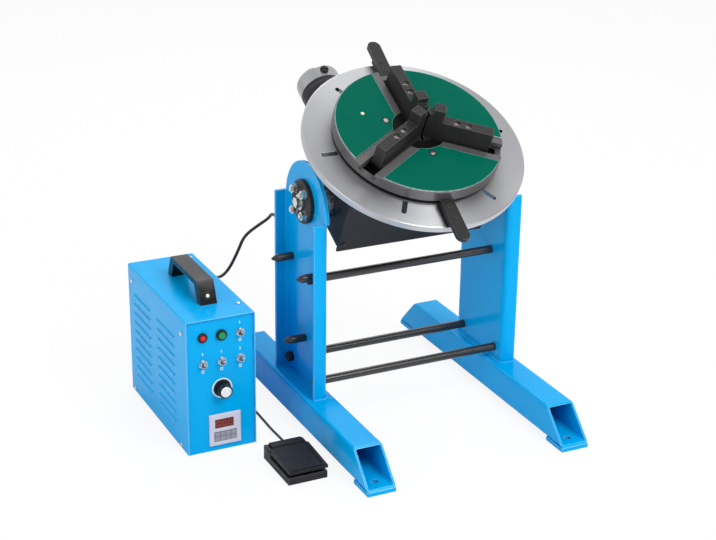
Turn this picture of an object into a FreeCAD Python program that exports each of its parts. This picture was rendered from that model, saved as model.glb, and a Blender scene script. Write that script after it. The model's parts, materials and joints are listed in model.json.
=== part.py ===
import FreeCAD, Part
import math
import os

# Welding positioner: a tilting, motor-driven turntable with a lever-scroll chuck, on a two-column
# stand, with a control box and a foot pedal beside it.
# Millimetres. +X runs along the cross rods to the right, -Y is the front, +Z is up.
# The origin is the centre of the four floor bolt holes, at floor level.

# ---- stand ----
skid_length = 569.0            # along the floor; both ends are mitred, so the top is shorter
skid_width = 49.0
skid_height = 54.0
skid_wall = 3.5
skid_corner = 5.0              # outside corner radius of the rectangular tube
skid_centre_x = 174.0
pad_thickness = 7.0
pad_length = 50.0
floor_bolt_inset = 25.0        # from each end of a skid
floor_bolt_hole = 13.0
floor_bolt_spacing = skid_length - 2 * floor_bolt_inset
column_gap = 326.0             # between the inner faces of the two columns
column_y = 16.5                # the columns stand this far behind the middle of the skids
column_depth = 158.0
column_sheet = 5.0
column_flange = 25.0           # overall width of the bent channel
column_bend = 5.0              # inside bend radius
channel_top_front = 362.0
channel_top_rear = 374.0
ear_centre_z = 363.0
ear_radius = 79.0
ear_thickness = 6.0
tilt_axis_z = 377.0
rod_diameter = 14.0
upper_rod = (-28.0, 253.0)     # y from the column centre, z
lower_rod_y = 53.5
lower_rod_z = 83.0
rod_bolt = 8.0
rod_bolt_head = 17.0
rod_bolt_head_height = 10.0
rod_bolt_depth = 18.0
peg_diameter = 13.0
peg_length = 38.0
peg_tip = 9.0
upper_peg_y = 50.0
upper_peg_z = 266.0
lower_peg_z = 139.0

# ---- tilt bearings ----
bearing_flange_diameter = 72.0
bearing_flange_thickness = 8.0
spigot_diameter = 36.0
spigot_clearance = 0.1
trunnion_diameter = 25.0
running_clearance = 0.05       # radial, for shafts in their bores
flange_bolt_circle = 50.0
flange_bolt = 8.0
washer_diameter = 15.0
washer_thickness = 1.6
nut_width = 13.0
nut_height = 6.5
clamp_bolt = 10.0
clamp_washer_diameter = 26.0
clamp_head_width = 16.0
clamp_head_height = 7.0
side_gap = 0.4                 # between the housing collar and the column ear

# ---- tilting drive housing: x across, y to the rear, z along the spindle, from the tilt axis ----
tilt_at_rest = 28.5            # degrees from a level table
housing_width = 264.0
housing_front = 70.0
housing_rear = 76.0
housing_bottom = -40.0
housing_top = 60.0
housing_wall = 5.0
cover_thickness = 4.0
cover_drop = 8.0               # the front cover hangs below the housing
cover_screw_inset = 8.0
cover_screw = 5.0
collar_diameter = 46.0
drive_height = 38.0            # worm and wheel plane
worm_centre = 66.0             # from the spindle to the worm, along -X
worm_pitch_radius = 12.0
worm_root_radius = 8.4
worm_length = 44.0
wheel_teeth = 45
module = 2.4
wheel_width = 12.0
worm_shaft = 10.0
worm_bearing = 24.0
worm_bearing_width = 8.0
spindle_diameter = 34.0
spindle_bore = 20.0
spindle_flange_diameter = 120.0
spindle_flange_thickness = 12.0
spindle_bearing = 62.0
spindle_bearing_width = 14.0
spindle_bolt_circle = 96.0
spindle_bolt = 8.0
motor_diameter = 74.0
gearhead_diameter = 66.0
gearhead_length = 24.0
motor_can_length = 100.0
motor_bell_length = 30.0
brush_cap = 14.0

# ---- turntable ----
table_diameter = 365.0
table_thickness = 12.0
table_top = 103.0              # above the tilt axis, along the spindle
slot_count = 6
slot_width = 8.0
slot_inner = 96.0
slot_outer = 162.0

# ---- chuck, heights above the table top ----
backplate_diameter = 272.0
backplate_thickness = 3.0
ring_diameter = 268.0          # set back under the body
ring_bottom = 3.3
ring_top = 11.0
body_diameter = 275.0
body_bottom = 11.4
body_top = 29.5
face_plate_thickness = 1.5
face_strip = 21.0              # half width of the bare strip beside each jaw
hub_outer = 61.0               # radius of the fixed hub inside the scroll
chuck_bolt_radius = 54.0
chuck_bolt = 8.0
scroll_inner = 64.0
scroll_outer = 126.0
scroll_pitch = 8.0
scroll_ridge = 3.0
scroll_height = 4.8
scroll_relief = 16.2           # top of the hollow over the scroll
jaw_angles = (90.0, -30.0, 210.0)
base_jaw_width = 27.0
base_jaw_bottom = 17.0
base_jaw_top = 26.0
base_jaw_inner = 5.0
base_jaw_outer = 110.0
tongue_height = 3.6
tongue_depth = 3.0
tongue_bottom = 19.2
jaw_clearance = 0.2
jaw_closing = 2.0              # how far each jaw can still go in from where it stands
jaw_tooth = 3.0
jaw_teeth = 4
jaw_width = 18.0
jaw_top = 62.0
jaw_block_top = 84.0
jaw_step_top = 74.0
jaw_inner = 4.0
jaw_step_radius = 13.0
jaw_block_outer = 31.0
jaw_outer = 114.0
jaw_screws = (54.0, 73.0)
jaw_screw = 8.0
jaw_screw_head = 12.0
jaw_screw_head_height = 8.0
jaw_counterbore_depth = 12.0
lever_angle = 86.0
lever_width = 22.0
lever_lug_outer = 185.0
lever_outer = 222.0
lever_bottom = 8.3
lever_thickness = 7.5
lever_gap = 1.0                # between a lever's inner end and the chuck body

# ---- control box ----
box_left = -400.0
box_front = -50.0
box_width = 116.0
box_depth = 276.0
box_height = 232.0
box_sheet = 1.5
panel_inset = 4.0
louvre_count = 10
louvre_pitch = 16.4
louvre_length = 75.0
louvre_height = 4.0
louvre_proud = 3.0
louvre_start_z = 38.0
louvre_front_y = 56.0
louvre_rear_inset = 30.0       # from the rear edge of the cover
panel_columns = (28.5, 60.0, 91.5)
panel_upper_z = 201.0
panel_middle_z = 156.5
knob_z = 109.0
meter_z = 37.5

# ---- foot pedal ----
pedal_left = -293.0
pedal_width = 66.0
pedal_front = -203.5
pedal_length = 102.0
pedal_height = 17.0


def box(x0, x1, y0, y1, z0, z1):
    """A block between two opposite corners."""
    return Part.makeBox(x1 - x0, y1 - y0, z1 - z0, FreeCAD.Vector(x0, y0, z0))


def cyl_x(x0, x1, radius, y=0.0, z=0.0):
    """A cylinder along X."""
    return Part.makeCylinder(radius, x1 - x0, FreeCAD.Vector(x0, y, z), FreeCAD.Vector(1, 0, 0))


def cyl_y(y0, y1, radius, x=0.0, z=0.0):
    """A cylinder along Y."""
    return Part.makeCylinder(radius, y1 - y0, FreeCAD.Vector(x, y0, z), FreeCAD.Vector(0, 1, 0))


def cyl_z(z0, z1, radius, x=0.0, y=0.0):
    """A cylinder along Z."""
    return Part.makeCylinder(radius, z1 - z0, FreeCAD.Vector(x, y, z0))


def ring_z(z0, z1, outer, inner, x=0.0, y=0.0):
    """A flat ring about Z."""
    return cyl_z(z0, z1, outer, x, y).cut(cyl_z(z0, z1, inner, x, y))


def prism(points, axis, start, length):
    """A flat outline of (u, v) points swept along X, Y or Z from a start place."""
    lay = {"x": lambda u, v: (start, u, v), "y": lambda u, v: (u, start, v), "z": lambda u, v: (u, v, start)}
    run = {"x": (length, 0, 0), "y": (0, length, 0), "z": (0, 0, length)}
    corners = [FreeCAD.Vector(*lay[axis](u, v)) for u, v in points]
    return Part.Face(Part.makePolygon(corners + corners[:1])).extrude(FreeCAD.Vector(*run[axis]))


def rounded_block(x0, x1, y0, y1, z0, z1, radius, axis="z"):
    """A block whose four edges along one axis are rounded."""
    block = box(x0, x1, y0, y1, z0, z1)
    number = "xyz".index(axis)
    edges = [e for e in block.Edges if abs(e.tangentAt(e.FirstParameter)[number]) > 0.9]
    return block.makeFillet(radius, edges)


def hexagon(width, height, axis, start, u, v):
    """A hexagon prism, measured across its flats, standing on a plane across the axis."""
    corner = width / math.sqrt(3)
    angles = [math.radians(60 * i + 30) for i in range(6)]
    points = [(u + corner * math.cos(a), v + corner * math.sin(a)) for a in angles]
    return prism(points, axis, start, height)


def joined(shapes):
    """One solid made of touching or overlapping shapes."""
    return shapes[0].multiFuse(shapes[1:]).removeSplitter() if len(shapes) > 1 else shapes[0]


def cut_all(shape, tools):
    """A shape without any of the tools."""
    return shape.cut(Part.makeCompound(tools))


def mirrored_x(shape):
    """The same piece on the other side of the machine."""
    return shape.mirror(FreeCAD.Vector(0, 0, 0), FreeCAD.Vector(1, 0, 0))


def turned(shape, degrees, x=0.0, y=0.0):
    """A copy turned about a vertical line."""
    copy = shape.copy()
    copy.rotate(FreeCAD.Vector(x, y, 0), FreeCAD.Vector(0, 0, 1), degrees)
    return copy


def moved(shape, x, y, z):
    """A copy moved along the three axes."""
    copy = shape.copy()
    copy.translate(FreeCAD.Vector(x, y, z))
    return copy


def on_column(shape):
    """Take a piece from the middle of the columns to its place behind the middle of the skids."""
    return moved(shape, 0, column_y, 0)


def tilted(shape):
    """Take a piece from the upright tilting frame to its place at rest."""
    copy = shape.copy()
    copy.rotate(FreeCAD.Vector(0, 0, 0), FreeCAD.Vector(1, 0, 0), tilt_at_rest)
    copy.translate(FreeCAD.Vector(0, column_y, tilt_axis_z))
    return copy


def export(name, *shapes):
    """Write one sub-part, made of one or more separate solids."""
    solids = [solid for shape in shapes for solid in shape.Solids]
    shape = solids[0] if len(solids) == 1 else Part.makeCompound(solids)
    shape.exportStep("parts/%s.step" % name)
    faulty = [solid for solid in solids if not solid.isValid() or solid.Volume <= 0]
    print("%-20s %3d solids %10.0f mm3%s" % (name, len(solids), shape.Volume, "  FAULTY" if faulty else ""))


os.makedirs("parts", exist_ok=True)
half_gap = column_gap / 2
column_face = half_gap + column_sheet          # outer face of the column web and of the ear
skid_top = pad_thickness + skid_height


# ---- skids: rectangular tube, mitred at both ends, on pads that are bolted to the floor ----
def skid():
    """The left skid tube with its two floor bolt holes."""
    half = skid_length / 2
    x0, x1 = -skid_centre_x - skid_width / 2, -skid_centre_x + skid_width / 2
    tube = rounded_block(x0, x1, -half, half, pad_thickness, skid_top, skid_corner, "y")
    inside = rounded_block(x0 + skid_wall, x1 - skid_wall, -half, half, pad_thickness + skid_wall,
                           skid_top - skid_wall, skid_corner - skid_wall, "y")
    mitres = [prism([(side * half, pad_thickness), (side * half, skid_top),
                     (side * (half - skid_height), skid_top)], "x", x0, skid_width) for side in (-1, 1)]
    holes = [cyl_z(pad_thickness, pad_thickness + skid_wall, floor_bolt_hole / 2, -skid_centre_x,
                   side * floor_bolt_spacing / 2) for side in (-1, 1)]
    return cut_all(tube, [inside] + mitres + holes)


def foot_pad(side_x, side_y):
    """A plate under one end of a skid, drilled for its floor bolt."""
    half = skid_length / 2
    y0, y1 = sorted((side_y * half, side_y * (half - pad_length)))
    plate = box(-skid_width / 2, skid_width / 2, y0, y1, 0, pad_thickness)
    plate = plate.cut(cyl_z(0, pad_thickness, floor_bolt_hole / 2, 0, side_y * floor_bolt_spacing / 2))
    return moved(plate, side_x * skid_centre_x, 0, 0)


export("skids", skid(), mirrored_x(skid()))
export("foot_pads", *[foot_pad(x, y) for x in (-1, 1) for y in (-1, 1)])


# ---- columns: bent channels, each with a round-topped bearing plate welded on its top ----
def above_channel():
    """The space above the slanting top of a channel."""
    half = column_depth / 2
    rise = (channel_top_rear - channel_top_front) / column_depth
    reach = half + 20
    middle = (channel_top_front + channel_top_rear) / 2
    top = ear_centre_z + ear_radius + 50
    return prism([(-reach, middle - rise * reach), (reach, middle + rise * reach), (reach, top), (-reach, top)],
                 "x", -half_gap - 2 * column_flange, 4 * column_flange)


def spigot_hole():
    """The bore that the tilt bearing's spigot fits in, with its four bolt holes."""
    holes = [cyl_x(-column_face - 1, -half_gap + 5, spigot_diameter / 2 + spigot_clearance / 2, 0, tilt_axis_z)]
    for y, z in flange_bolt_places():
        holes.append(cyl_x(-column_face - 1, -half_gap + 5, flange_bolt / 2 + spigot_clearance, y, z))
    return holes


def flange_bolt_places():
    """Where the four bolts of a tilt bearing pass, on its diagonals."""
    reach = flange_bolt_circle / 2 * math.sqrt(0.5)
    return [(y * reach, tilt_axis_z + z * reach) for y in (-1, 1) for z in (-1, 1)]


def rod_places():
    """Where the three cross rods meet the columns."""
    return [upper_rod, (-lower_rod_y, lower_rod_z), (lower_rod_y, lower_rod_z)]


def peg_places():
    """Where the three cable pegs stand on the left column."""
    return [(-upper_peg_y, upper_peg_z), (upper_peg_y, upper_peg_z), (0.0, lower_peg_z)]


def channel(hole_places):
    """The left column's bent channel, open to the outside, drilled for rods and pegs."""
    half = column_depth / 2
    outer_bend = column_bend + column_sheet
    reach = half_gap + 3 * column_flange
    outside = rounded_block(-reach, -half_gap, -half, half, skid_top, channel_top_rear + 5, outer_bend)
    inside = rounded_block(-reach, -column_face, -half + column_sheet, half - column_sheet, skid_top,
                           channel_top_rear + 5, column_bend)
    beyond = box(-reach, -half_gap - column_flange, -half, half, skid_top, channel_top_rear + 5)
    holes = [cyl_x(-column_face, -half_gap, rod_bolt / 2 + spigot_clearance, y, z) for y, z in hole_places]
    return cut_all(outside, [inside, beyond, above_channel()] + holes + spigot_hole())


def bearing_plate():
    """The left ear: a plate with a half-round top, standing on the channel's web."""
    half = ear_radius
    disc = cyl_x(-column_face, -column_face + ear_thickness, ear_radius, 0, ear_centre_z)
    foot = box(-column_face, -column_face + ear_thickness, -half, half, channel_top_front - 5, ear_centre_z)
    return cut_all(disc.fuse(foot).common(above_channel()), spigot_hole())


export("left_column", on_column(channel(rod_places() + peg_places())))
export("right_column", on_column(mirrored_x(channel(rod_places()))))
export("bearing_plates", on_column(bearing_plate()), on_column(mirrored_x(bearing_plate())))


def cross_rod(y, z):
    """A round spacer rod between the columns, tapped at both ends."""
    rod = cyl_x(-half_gap, half_gap, rod_diameter / 2, y, z)
    ends = [cyl_x(-half_gap, -half_gap + rod_bolt_depth, rod_bolt / 2, y, z),
            cyl_x(half_gap - rod_bolt_depth, half_gap, rod_bolt / 2, y, z)]
    return cut_all(rod, ends)


def rod_bolt_at(y, z):
    """A button-head bolt through the left column into a rod, with a socket in its head."""
    tip = -half_gap + rod_bolt_depth
    head = cyl_x(-column_face - rod_bolt_head_height, -column_face, rod_bolt_head / 2, y, z)
    outer = [e for e in head.Edges if e.Vertexes[0].X < -column_face - 1 and e.Closed]
    head = head.makeChamfer(rod_bolt_head_height * 0.2, outer)
    socket = hexagon(rod_bolt * 0.75, rod_bolt * 0.6, "x", -column_face - rod_bolt_head_height, y, z)
    return head.fuse(cyl_x(-column_face, tip, rod_bolt / 2, y, z)).removeSplitter().cut(socket)


def peg(y, z):
    """A pointed peg on the left column with a threaded end through the web."""
    base = -column_face
    shank = cyl_x(base - peg_length + peg_tip, base, peg_diameter / 2, y, z)
    tip = Part.makeCone(peg_diameter / 2, peg_diameter * 0.12, peg_tip,
                        FreeCAD.Vector(base - peg_length + peg_tip, y, z), FreeCAD.Vector(-1, 0, 0))
    return joined([shank, tip, cyl_x(base, -half_gap + rod_bolt, rod_bolt / 2, y, z)])


def nut_x(x, y, z, side, collar=True):
    """A nut with a flat collar, seated on a face across X and standing out on one side of it."""
    bore = cyl_x(x - 20, x + 20, flange_bolt / 2, y, z)
    thick = washer_thickness if collar else 0
    x0, x1 = sorted((x, x + side * (nut_height + thick)))
    body = hexagon(nut_width, x1 - x0, "x", x0, y, z)
    if collar:
        w0, w1 = sorted((x, x + side * thick))
        body = joined([body, cyl_x(w0, w1, washer_diameter / 2, y, z)])
    return body.cut(bore)


export("cross_rods", *[on_column(cross_rod(y, z)) for y, z in rod_places()])
bolts = [rod_bolt_at(y, z) for y, z in rod_places()]
export("rod_bolts", *[on_column(b) for b in bolts + [mirrored_x(b) for b in bolts]])
nuts = [nut_x(-half_gap, y, z, 1, False) for y, z in peg_places()]
export("hanging_pegs", *[on_column(s) for s in [peg(y, z) for y, z in peg_places()] + nuts])


# ---- tilt bearings and trunnions ----
housing_side = housing_width / 2
ear_inside = column_face - ear_thickness
flange_outside = column_face + bearing_flange_thickness
journal_end = flange_outside + side_gap
trunnion_flange = 64.0
trunnion_flange_thickness = 8.0
shoulder_diameter = 32.0


def bearing_flange():
    """A round flange bearing for the left trunnion, with a spigot in the ear."""
    disc = cyl_x(-flange_outside, -column_face, bearing_flange_diameter / 2, 0, tilt_axis_z)
    disc = disc.makeChamfer(1.0, [e for e in disc.Edges if e.Closed and e.Vertexes[0].X < -column_face - 1])
    spigot = cyl_x(-column_face, -ear_inside, spigot_diameter / 2, 0, tilt_axis_z)
    bore = cyl_x(-flange_outside, -ear_inside, trunnion_diameter / 2 + running_clearance, 0, tilt_axis_z)
    holes = [cyl_x(-flange_outside, -column_face, flange_bolt / 2 + spigot_clearance, y, z)
             for y, z in flange_bolt_places()]
    return cut_all(joined([disc, spigot]), [bore] + holes)


def flange_bolt_at(y, z):
    """A hexagon bolt from inside the column through the ear or the web and the bearing flange."""
    rise = (channel_top_rear - channel_top_front) / column_depth
    weld = (channel_top_front + channel_top_rear) / 2 + rise * y
    seat = -ear_inside if z > weld else -half_gap
    head = hexagon(nut_width, flange_bolt * 0.65, "x", seat, y, z)
    tip = -flange_outside - washer_thickness - nut_height - 3
    return joined([head, cyl_x(tip, seat, flange_bolt / 2, y, z)])


def trunnion():
    """The left trunnion: a flange on the housing, a shoulder and a journal, tapped for the clamp bolt."""
    flange = cyl_x(-housing_side - trunnion_flange_thickness, -housing_side, trunnion_flange / 2)
    spigot = cyl_x(-housing_side, -housing_side + housing_wall, spigot_diameter / 2)
    shoulder = cyl_x(-ear_inside + side_gap, -housing_side - trunnion_flange_thickness, shoulder_diameter / 2)
    journal = cyl_x(-journal_end, -ear_inside + side_gap, trunnion_diameter / 2)
    tapped = cyl_x(-journal_end, -journal_end + 3 * clamp_bolt, clamp_bolt / 2)
    holes = [cyl_x(-housing_side - trunnion_flange_thickness, -housing_side, cover_screw / 2, y, z)
             for y, z in trunnion_screw_places()]
    return cut_all(joined([flange, spigot, shoulder, journal]), [tapped] + holes)


def trunnion_screw_places():
    """Where the four screws hold a trunnion flange to the housing."""
    reach = trunnion_flange / 2 - 8
    return [(reach * math.cos(math.radians(a)), reach * math.sin(math.radians(a))) for a in (0, 90, 180, 270)]


def trunnion_screw(y, z):
    """A cap screw through the trunnion flange into the housing wall."""
    seat = -housing_side - trunnion_flange_thickness
    head = cyl_x(seat - cover_screw, seat, cover_screw * 0.8, y, z)
    return joined([head, cyl_x(seat, -housing_side + housing_wall, cover_screw / 2, y, z)])


def clamp_bolt_and_washer():
    """The bolt and thick washer that hold the left trunnion in its bearing."""
    washer_face = -journal_end - 2 * washer_thickness
    washer = cyl_x(washer_face, -journal_end, clamp_washer_diameter / 2).cut(
        cyl_x(washer_face, -journal_end, clamp_bolt / 2 + spigot_clearance))
    head = hexagon(clamp_head_width, clamp_head_height, "x", washer_face - clamp_head_height, 0, 0)
    shank = cyl_x(washer_face, -journal_end + 2.5 * clamp_bolt, clamp_bolt / 2)
    return washer, joined([head, shank])


bolts = [flange_bolt_at(y, z) for y, z in flange_bolt_places()]
nuts = [nut_x(-flange_outside, y, z, -1) for y, z in flange_bolt_places()]
export("bearing_flanges", on_column(bearing_flange()), on_column(mirrored_x(bearing_flange())))
export("flange_bolts", *[on_column(s) for s in bolts + nuts + [mirrored_x(b) for b in bolts + nuts]])
export("trunnions", tilted(trunnion()), tilted(mirrored_x(trunnion())))
washer, bolt = clamp_bolt_and_washer()
export("clamp_bolts", *[tilted(s) for s in (washer, bolt, mirrored_x(washer), mirrored_x(bolt))])
trunnion_screws = [trunnion_screw(y, z) for y, z in trunnion_screw_places()]


# ---- drive housing: an open-fronted box with bored bosses for the spindle, worm and motor ----
boss_radius = spindle_diameter / 2 + 13
bush_radius = spindle_diameter / 2 + 5
boss_top = housing_top + 10
boss_depth = 7.0
lower_boss = 20.0
spindle_flange_bottom = table_top - table_thickness - spindle_flange_thickness
bush_flange_top = spindle_flange_bottom - running_clearance
worm_carrier_gap = 4.0
bracket_wall = 6.0
bracket_wall_inner = 2.0       # thin beside the wheel
bolt_boss = 9.0


def cover_screw_places():
    """The four corners where the front cover is screwed on."""
    x = housing_side - cover_screw_inset
    heights = (housing_bottom + cover_screw_inset, housing_top - cover_screw_inset)
    return [(side * x, z) for side in (-1, 1) for z in heights]


def worm_bearing_spans():
    """Where the two worm bearings sit along the worm shaft."""
    inner = worm_length / 2 + worm_carrier_gap
    return [(-inner - worm_bearing_width, -inner), (inner, inner + worm_bearing_width)]


def gear_housing():
    """The cast housing with its spindle bosses, worm bearing brackets and cover bosses."""
    side, wall = housing_side, housing_wall
    shell = rounded_block(-side, side, -housing_front, housing_rear, housing_bottom, housing_top, 3.0, "x")
    space = box(-side + wall, side - wall, -housing_front, housing_rear - wall, housing_bottom + wall,
                housing_top - wall)
    shell = shell.cut(space)
    adds = [cyl_z(housing_top - wall - boss_depth, boss_top, boss_radius),
            cyl_z(housing_bottom, housing_bottom + wall + lower_boss, boss_radius)]
    for y0, y1 in worm_bearing_spans():
        adds.append(box(-worm_centre - worm_bearing / 2 - bracket_wall,
                        -worm_centre + worm_bearing / 2 + bracket_wall_inner, y0, y1,
                        drive_height - worm_bearing / 2 - bracket_wall, housing_top - wall))
    for x, z in cover_screw_places():
        adds.append(box(x - bolt_boss / 2, x + bolt_boss / 2, -housing_front, -housing_front + 3 * cover_screw,
                        z - bolt_boss / 2, z + bolt_boss / 2))
    cuts = [cyl_z(housing_bottom, boss_top, bush_radius),
            cyl_y(housing_rear - wall, housing_rear, worm_shaft / 2 + 2, -worm_centre, drive_height)]
    for y0, y1 in worm_bearing_spans():
        cuts.append(cyl_y(y0, y1, worm_bearing / 2, -worm_centre, drive_height))
    for x, z in cover_screw_places():
        cuts.append(cyl_y(-housing_front, -housing_front + 2.5 * cover_screw, cover_screw / 2, x, z))
    for sx in (-1, 1):
        x0, x1 = sorted((sx * (side - wall), sx * side))
        cuts.append(cyl_x(x0, x1, spigot_diameter / 2))
        cuts += [cyl_x(x0, x1, cover_screw / 2, y, z) for y, z in trunnion_screw_places()]
    cuts += [cyl_y(housing_rear - wall, housing_rear, cover_screw / 2, x, z) for x, z in motor_screw_places()]
    return cut_all(joined([shell] + adds), cuts)


def motor_screw_places():
    """Four screws in the gearhead, kept below the housing's top wall."""
    reach, angle = gearhead_diameter / 2 - 6, math.radians(25)
    return [(-worm_centre + sx * reach * math.cos(angle), drive_height + sz * reach * math.sin(angle))
            for sx in (-1, 1) for sz in (-1, 1)]


def cover_screw_at(x, z):
    """A button-head screw through the cover."""
    face = -housing_front - cover_thickness
    head = cyl_y(face - 2.6, face, cover_screw * 0.9, x, z)
    head = head.makeChamfer(1.2, [e for e in head.Edges if e.Closed and e.Vertexes[0].Y < face - 1])
    socket = hexagon(3.0, 1.6, "y", face - 2.6, x, z)
    return joined([head, cyl_y(face, -housing_front + 2.3 * cover_screw, cover_screw / 2, x, z)]).cut(socket)


def housing_cover():
    """The flat front plate, with a lip that hangs below the housing."""
    face = -housing_front - cover_thickness
    plate = box(-housing_side, housing_side, face, -housing_front, housing_bottom - cover_drop, housing_top)
    return cut_all(plate, [cyl_y(face, -housing_front, cover_screw / 2, x, z) for x, z in cover_screw_places()])


def spindle_bush(z0, z1, flange_z0, flange_z1):
    """A bronze bush with a thrust flange."""
    sleeve = cyl_z(z0, z1, bush_radius)
    flange = cyl_z(flange_z0, flange_z1, boss_radius - 2)
    bore = cyl_z(min(z0, flange_z0), max(z1, flange_z1), spindle_diameter / 2 + running_clearance)
    return joined([sleeve, flange]).cut(bore)


def worm_bearing_ring(y0, y1):
    """A plain bearing ring for the worm shaft, pressed in its bracket."""
    outer = cyl_y(y0, y1, worm_bearing / 2, -worm_centre, drive_height)
    return outer.cut(cyl_y(y0, y1, worm_shaft / 2 + running_clearance, -worm_centre, drive_height))


def motor_screw(x, z):
    """A screw from inside the housing into the gearhead."""
    seat = housing_rear - housing_wall
    head = cyl_y(seat - 4, seat, cover_screw * 0.8, x, z)
    return joined([head, cyl_y(seat, housing_rear + 9, cover_screw / 2, x, z)])


export("gear_housing", tilted(gear_housing()))
export("housing_cover", tilted(housing_cover()))
upper_bush = spindle_bush(housing_top - housing_wall - boss_depth, boss_top, boss_top, bush_flange_top)
lower_bush_top = housing_bottom + housing_wall + lower_boss
lower_bush = spindle_bush(housing_bottom, lower_bush_top, lower_bush_top, lower_bush_top + 3)
worm_bearings = [worm_bearing_ring(y0, y1) for y0, y1 in worm_bearing_spans()]
export("bronze_bushes", *[tilted(s) for s in [upper_bush, lower_bush] + worm_bearings])
housing_screws = [cover_screw_at(x, z) for x, z in cover_screw_places()]
housing_screws += [motor_screw(x, z) for x, z in motor_screw_places()]
housing_screws += trunnion_screws + [mirrored_x(s) for s in trunnion_screws]
export("housing_screws", *[tilted(s) for s in housing_screws])


# ---- worm drive ----
gearhead_rear = housing_rear + gearhead_length
can_rear = gearhead_rear + motor_can_length
bell_rear = can_rear + motor_bell_length
worm_lead = math.pi * module
thread_turns = 4
thread_crest = 1.0             # width of the thread at its tip
thread_foot = 2.6              # and at its root
tooth_flank = 0.9              # how far a tooth gap widens from its middle to either end
tooth_backlash = 0.5


def at_worm(shape):
    """Take a piece from about the Z axis to the worm's axis, which runs to the rear."""
    copy = shape.copy()
    copy.rotate(FreeCAD.Vector(0, 0, 0), FreeCAD.Vector(1, 0, 0), -90)
    copy.translate(FreeCAD.Vector(-worm_centre, 0, drive_height))
    return copy


def worm():
    """The worm and its shaft, which reaches back into the gearhead."""
    shaft = cyl_y(worm_bearing_spans()[0][0], gearhead_rear - 6, worm_shaft / 2, -worm_centre, drive_height)
    core = cyl_y(-worm_length / 2, worm_length / 2, worm_root_radius, -worm_centre, drive_height)
    shoulders = [cyl_y(y0, y1, worm_shaft / 2 + 2, -worm_centre, drive_height) for y0, y1 in
                 ((-worm_length / 2 - worm_carrier_gap + 0.2, -worm_length / 2),
                  (worm_length / 2, worm_length / 2 + worm_carrier_gap - 0.2))]
    helix = Part.makeHelix(worm_lead, thread_turns * worm_lead, worm_pitch_radius)
    foot, tip = worm_root_radius - 0.3, worm_pitch_radius + module
    section = [(foot, -thread_foot / 2), (tip, -thread_crest / 2), (tip, thread_crest / 2),
               (foot, thread_foot / 2)]
    corners = [FreeCAD.Vector(x, 0, z) for x, z in section]
    thread = helix.makePipeShell([Part.makePolygon(corners + corners[:1])], True, True)
    thread = at_worm(moved(thread, 0, 0, -thread_turns * worm_lead / 2))
    return joined([shaft, core] + shoulders).fuse(thread)


def worm_wheel():
    """The bronze wheel that turns the spindle."""
    pitch_radius = wheel_teeth * module / 2
    z0, z1 = drive_height - wheel_width / 2, drive_height + wheel_width / 2
    wheel = cyl_z(z0, z1, pitch_radius + module)
    teeth = []
    root = pitch_radius - 1.2 * module
    for i in range(wheel_teeth):
        half_root = module * math.pi / 4 + tooth_backlash / 2 - tooth_flank
        half_tip = module * math.pi / 4 + tooth_backlash / 2 + tooth_flank
        gap = prism([(root, -half_root), (pitch_radius + module + 1, -half_tip),
                     (pitch_radius + module + 1, half_tip), (root, half_root)], "z", z0, wheel_width)
        teeth.append(turned(gap, (i + 0.5) * 360.0 / wheel_teeth))
    recess = [ring_z(z0, z0 + wheel_width * 0.2, root - 8, spindle_diameter / 2 + 10),
              ring_z(z1 - wheel_width * 0.2, z1, root - 8, spindle_diameter / 2 + 10)]
    return cut_all(wheel, teeth + recess + [cyl_z(z0, z1, spindle_diameter / 2)])


def wheel_collar():
    """The clamp collar on the spindle's lower end that takes up its end play."""
    z1 = housing_bottom - running_clearance
    return ring_z(z1 - 6, z1, spindle_diameter / 2 + 9, spindle_diameter / 2)


def gearhead():
    """The adaptor between the housing and the motor."""
    body = cyl_y(housing_rear, gearhead_rear, gearhead_diameter / 2, -worm_centre, drive_height)
    bore = cyl_y(housing_rear, gearhead_rear, worm_shaft / 2 + 1, -worm_centre, drive_height)
    tapped = [cyl_y(housing_rear, housing_rear + 10, cover_screw / 2, x, z) for x, z in motor_screw_places()]
    return cut_all(body, [bore] + tapped)


def motor_can():
    """The motor's round body with a narrow groove at each end."""
    body = cyl_y(gearhead_rear, can_rear, motor_diameter / 2, -worm_centre, drive_height)
    grooves = []
    for y in (gearhead_rear + 8, can_rear - 10):
        outer = cyl_y(y, y + 2, motor_diameter / 2 + 1, -worm_centre, drive_height)
        grooves.append(outer.cut(cyl_y(y, y + 2, motor_diameter / 2 - 1, -worm_centre, drive_height)))
    return cut_all(body, grooves)


def motor_bell():
    """The domed end bell with a socket for each brush cap."""
    radius = motor_diameter / 2
    body = cyl_y(can_rear, bell_rear, radius, -worm_centre, drive_height)
    body = body.makeFillet(9.0, [e for e in body.Edges if e.Closed and e.Vertexes[0].Y > bell_rear - 1])
    boss = cyl_y(bell_rear - 1, bell_rear + 4, radius * 0.42, -worm_centre, drive_height)
    body = joined([body, boss])
    return cut_all(body, [brush_plug(side, 0.0) for side in (1, -1)])


def brush_plug(side, head):
    """A brush cap across the motor; its head stands out by the given height."""
    y = can_rear + motor_bell_length * 0.42
    z = drive_height + side * (motor_diameter / 2 - 8)
    cap = Part.makeCylinder(brush_cap / 2, 8 + head, FreeCAD.Vector(-worm_centre, y, z),
                            FreeCAD.Vector(0, 0, side))
    low, high = sorted((z + side * (7 + head), z + side * (9 + head)))
    slot = box(-worm_centre - brush_cap, -worm_centre + brush_cap, y - 0.8, y + 0.8, low, high)
    return cap.cut(slot) if head else cap


export("worm_shaft", tilted(worm()))
export("gearhead", tilted(gearhead()))
export("motor_can", tilted(motor_can()))
export("motor_bell", tilted(motor_bell()))
export("brush_caps", tilted(brush_plug(1, 3.0)), tilted(brush_plug(-1, 3.0)))


# ---- spindle and turntable ----
def spindle_bolt_angles():
    """Six bolts between the slots of the table."""
    return [60 * i for i in range(6)]


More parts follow.
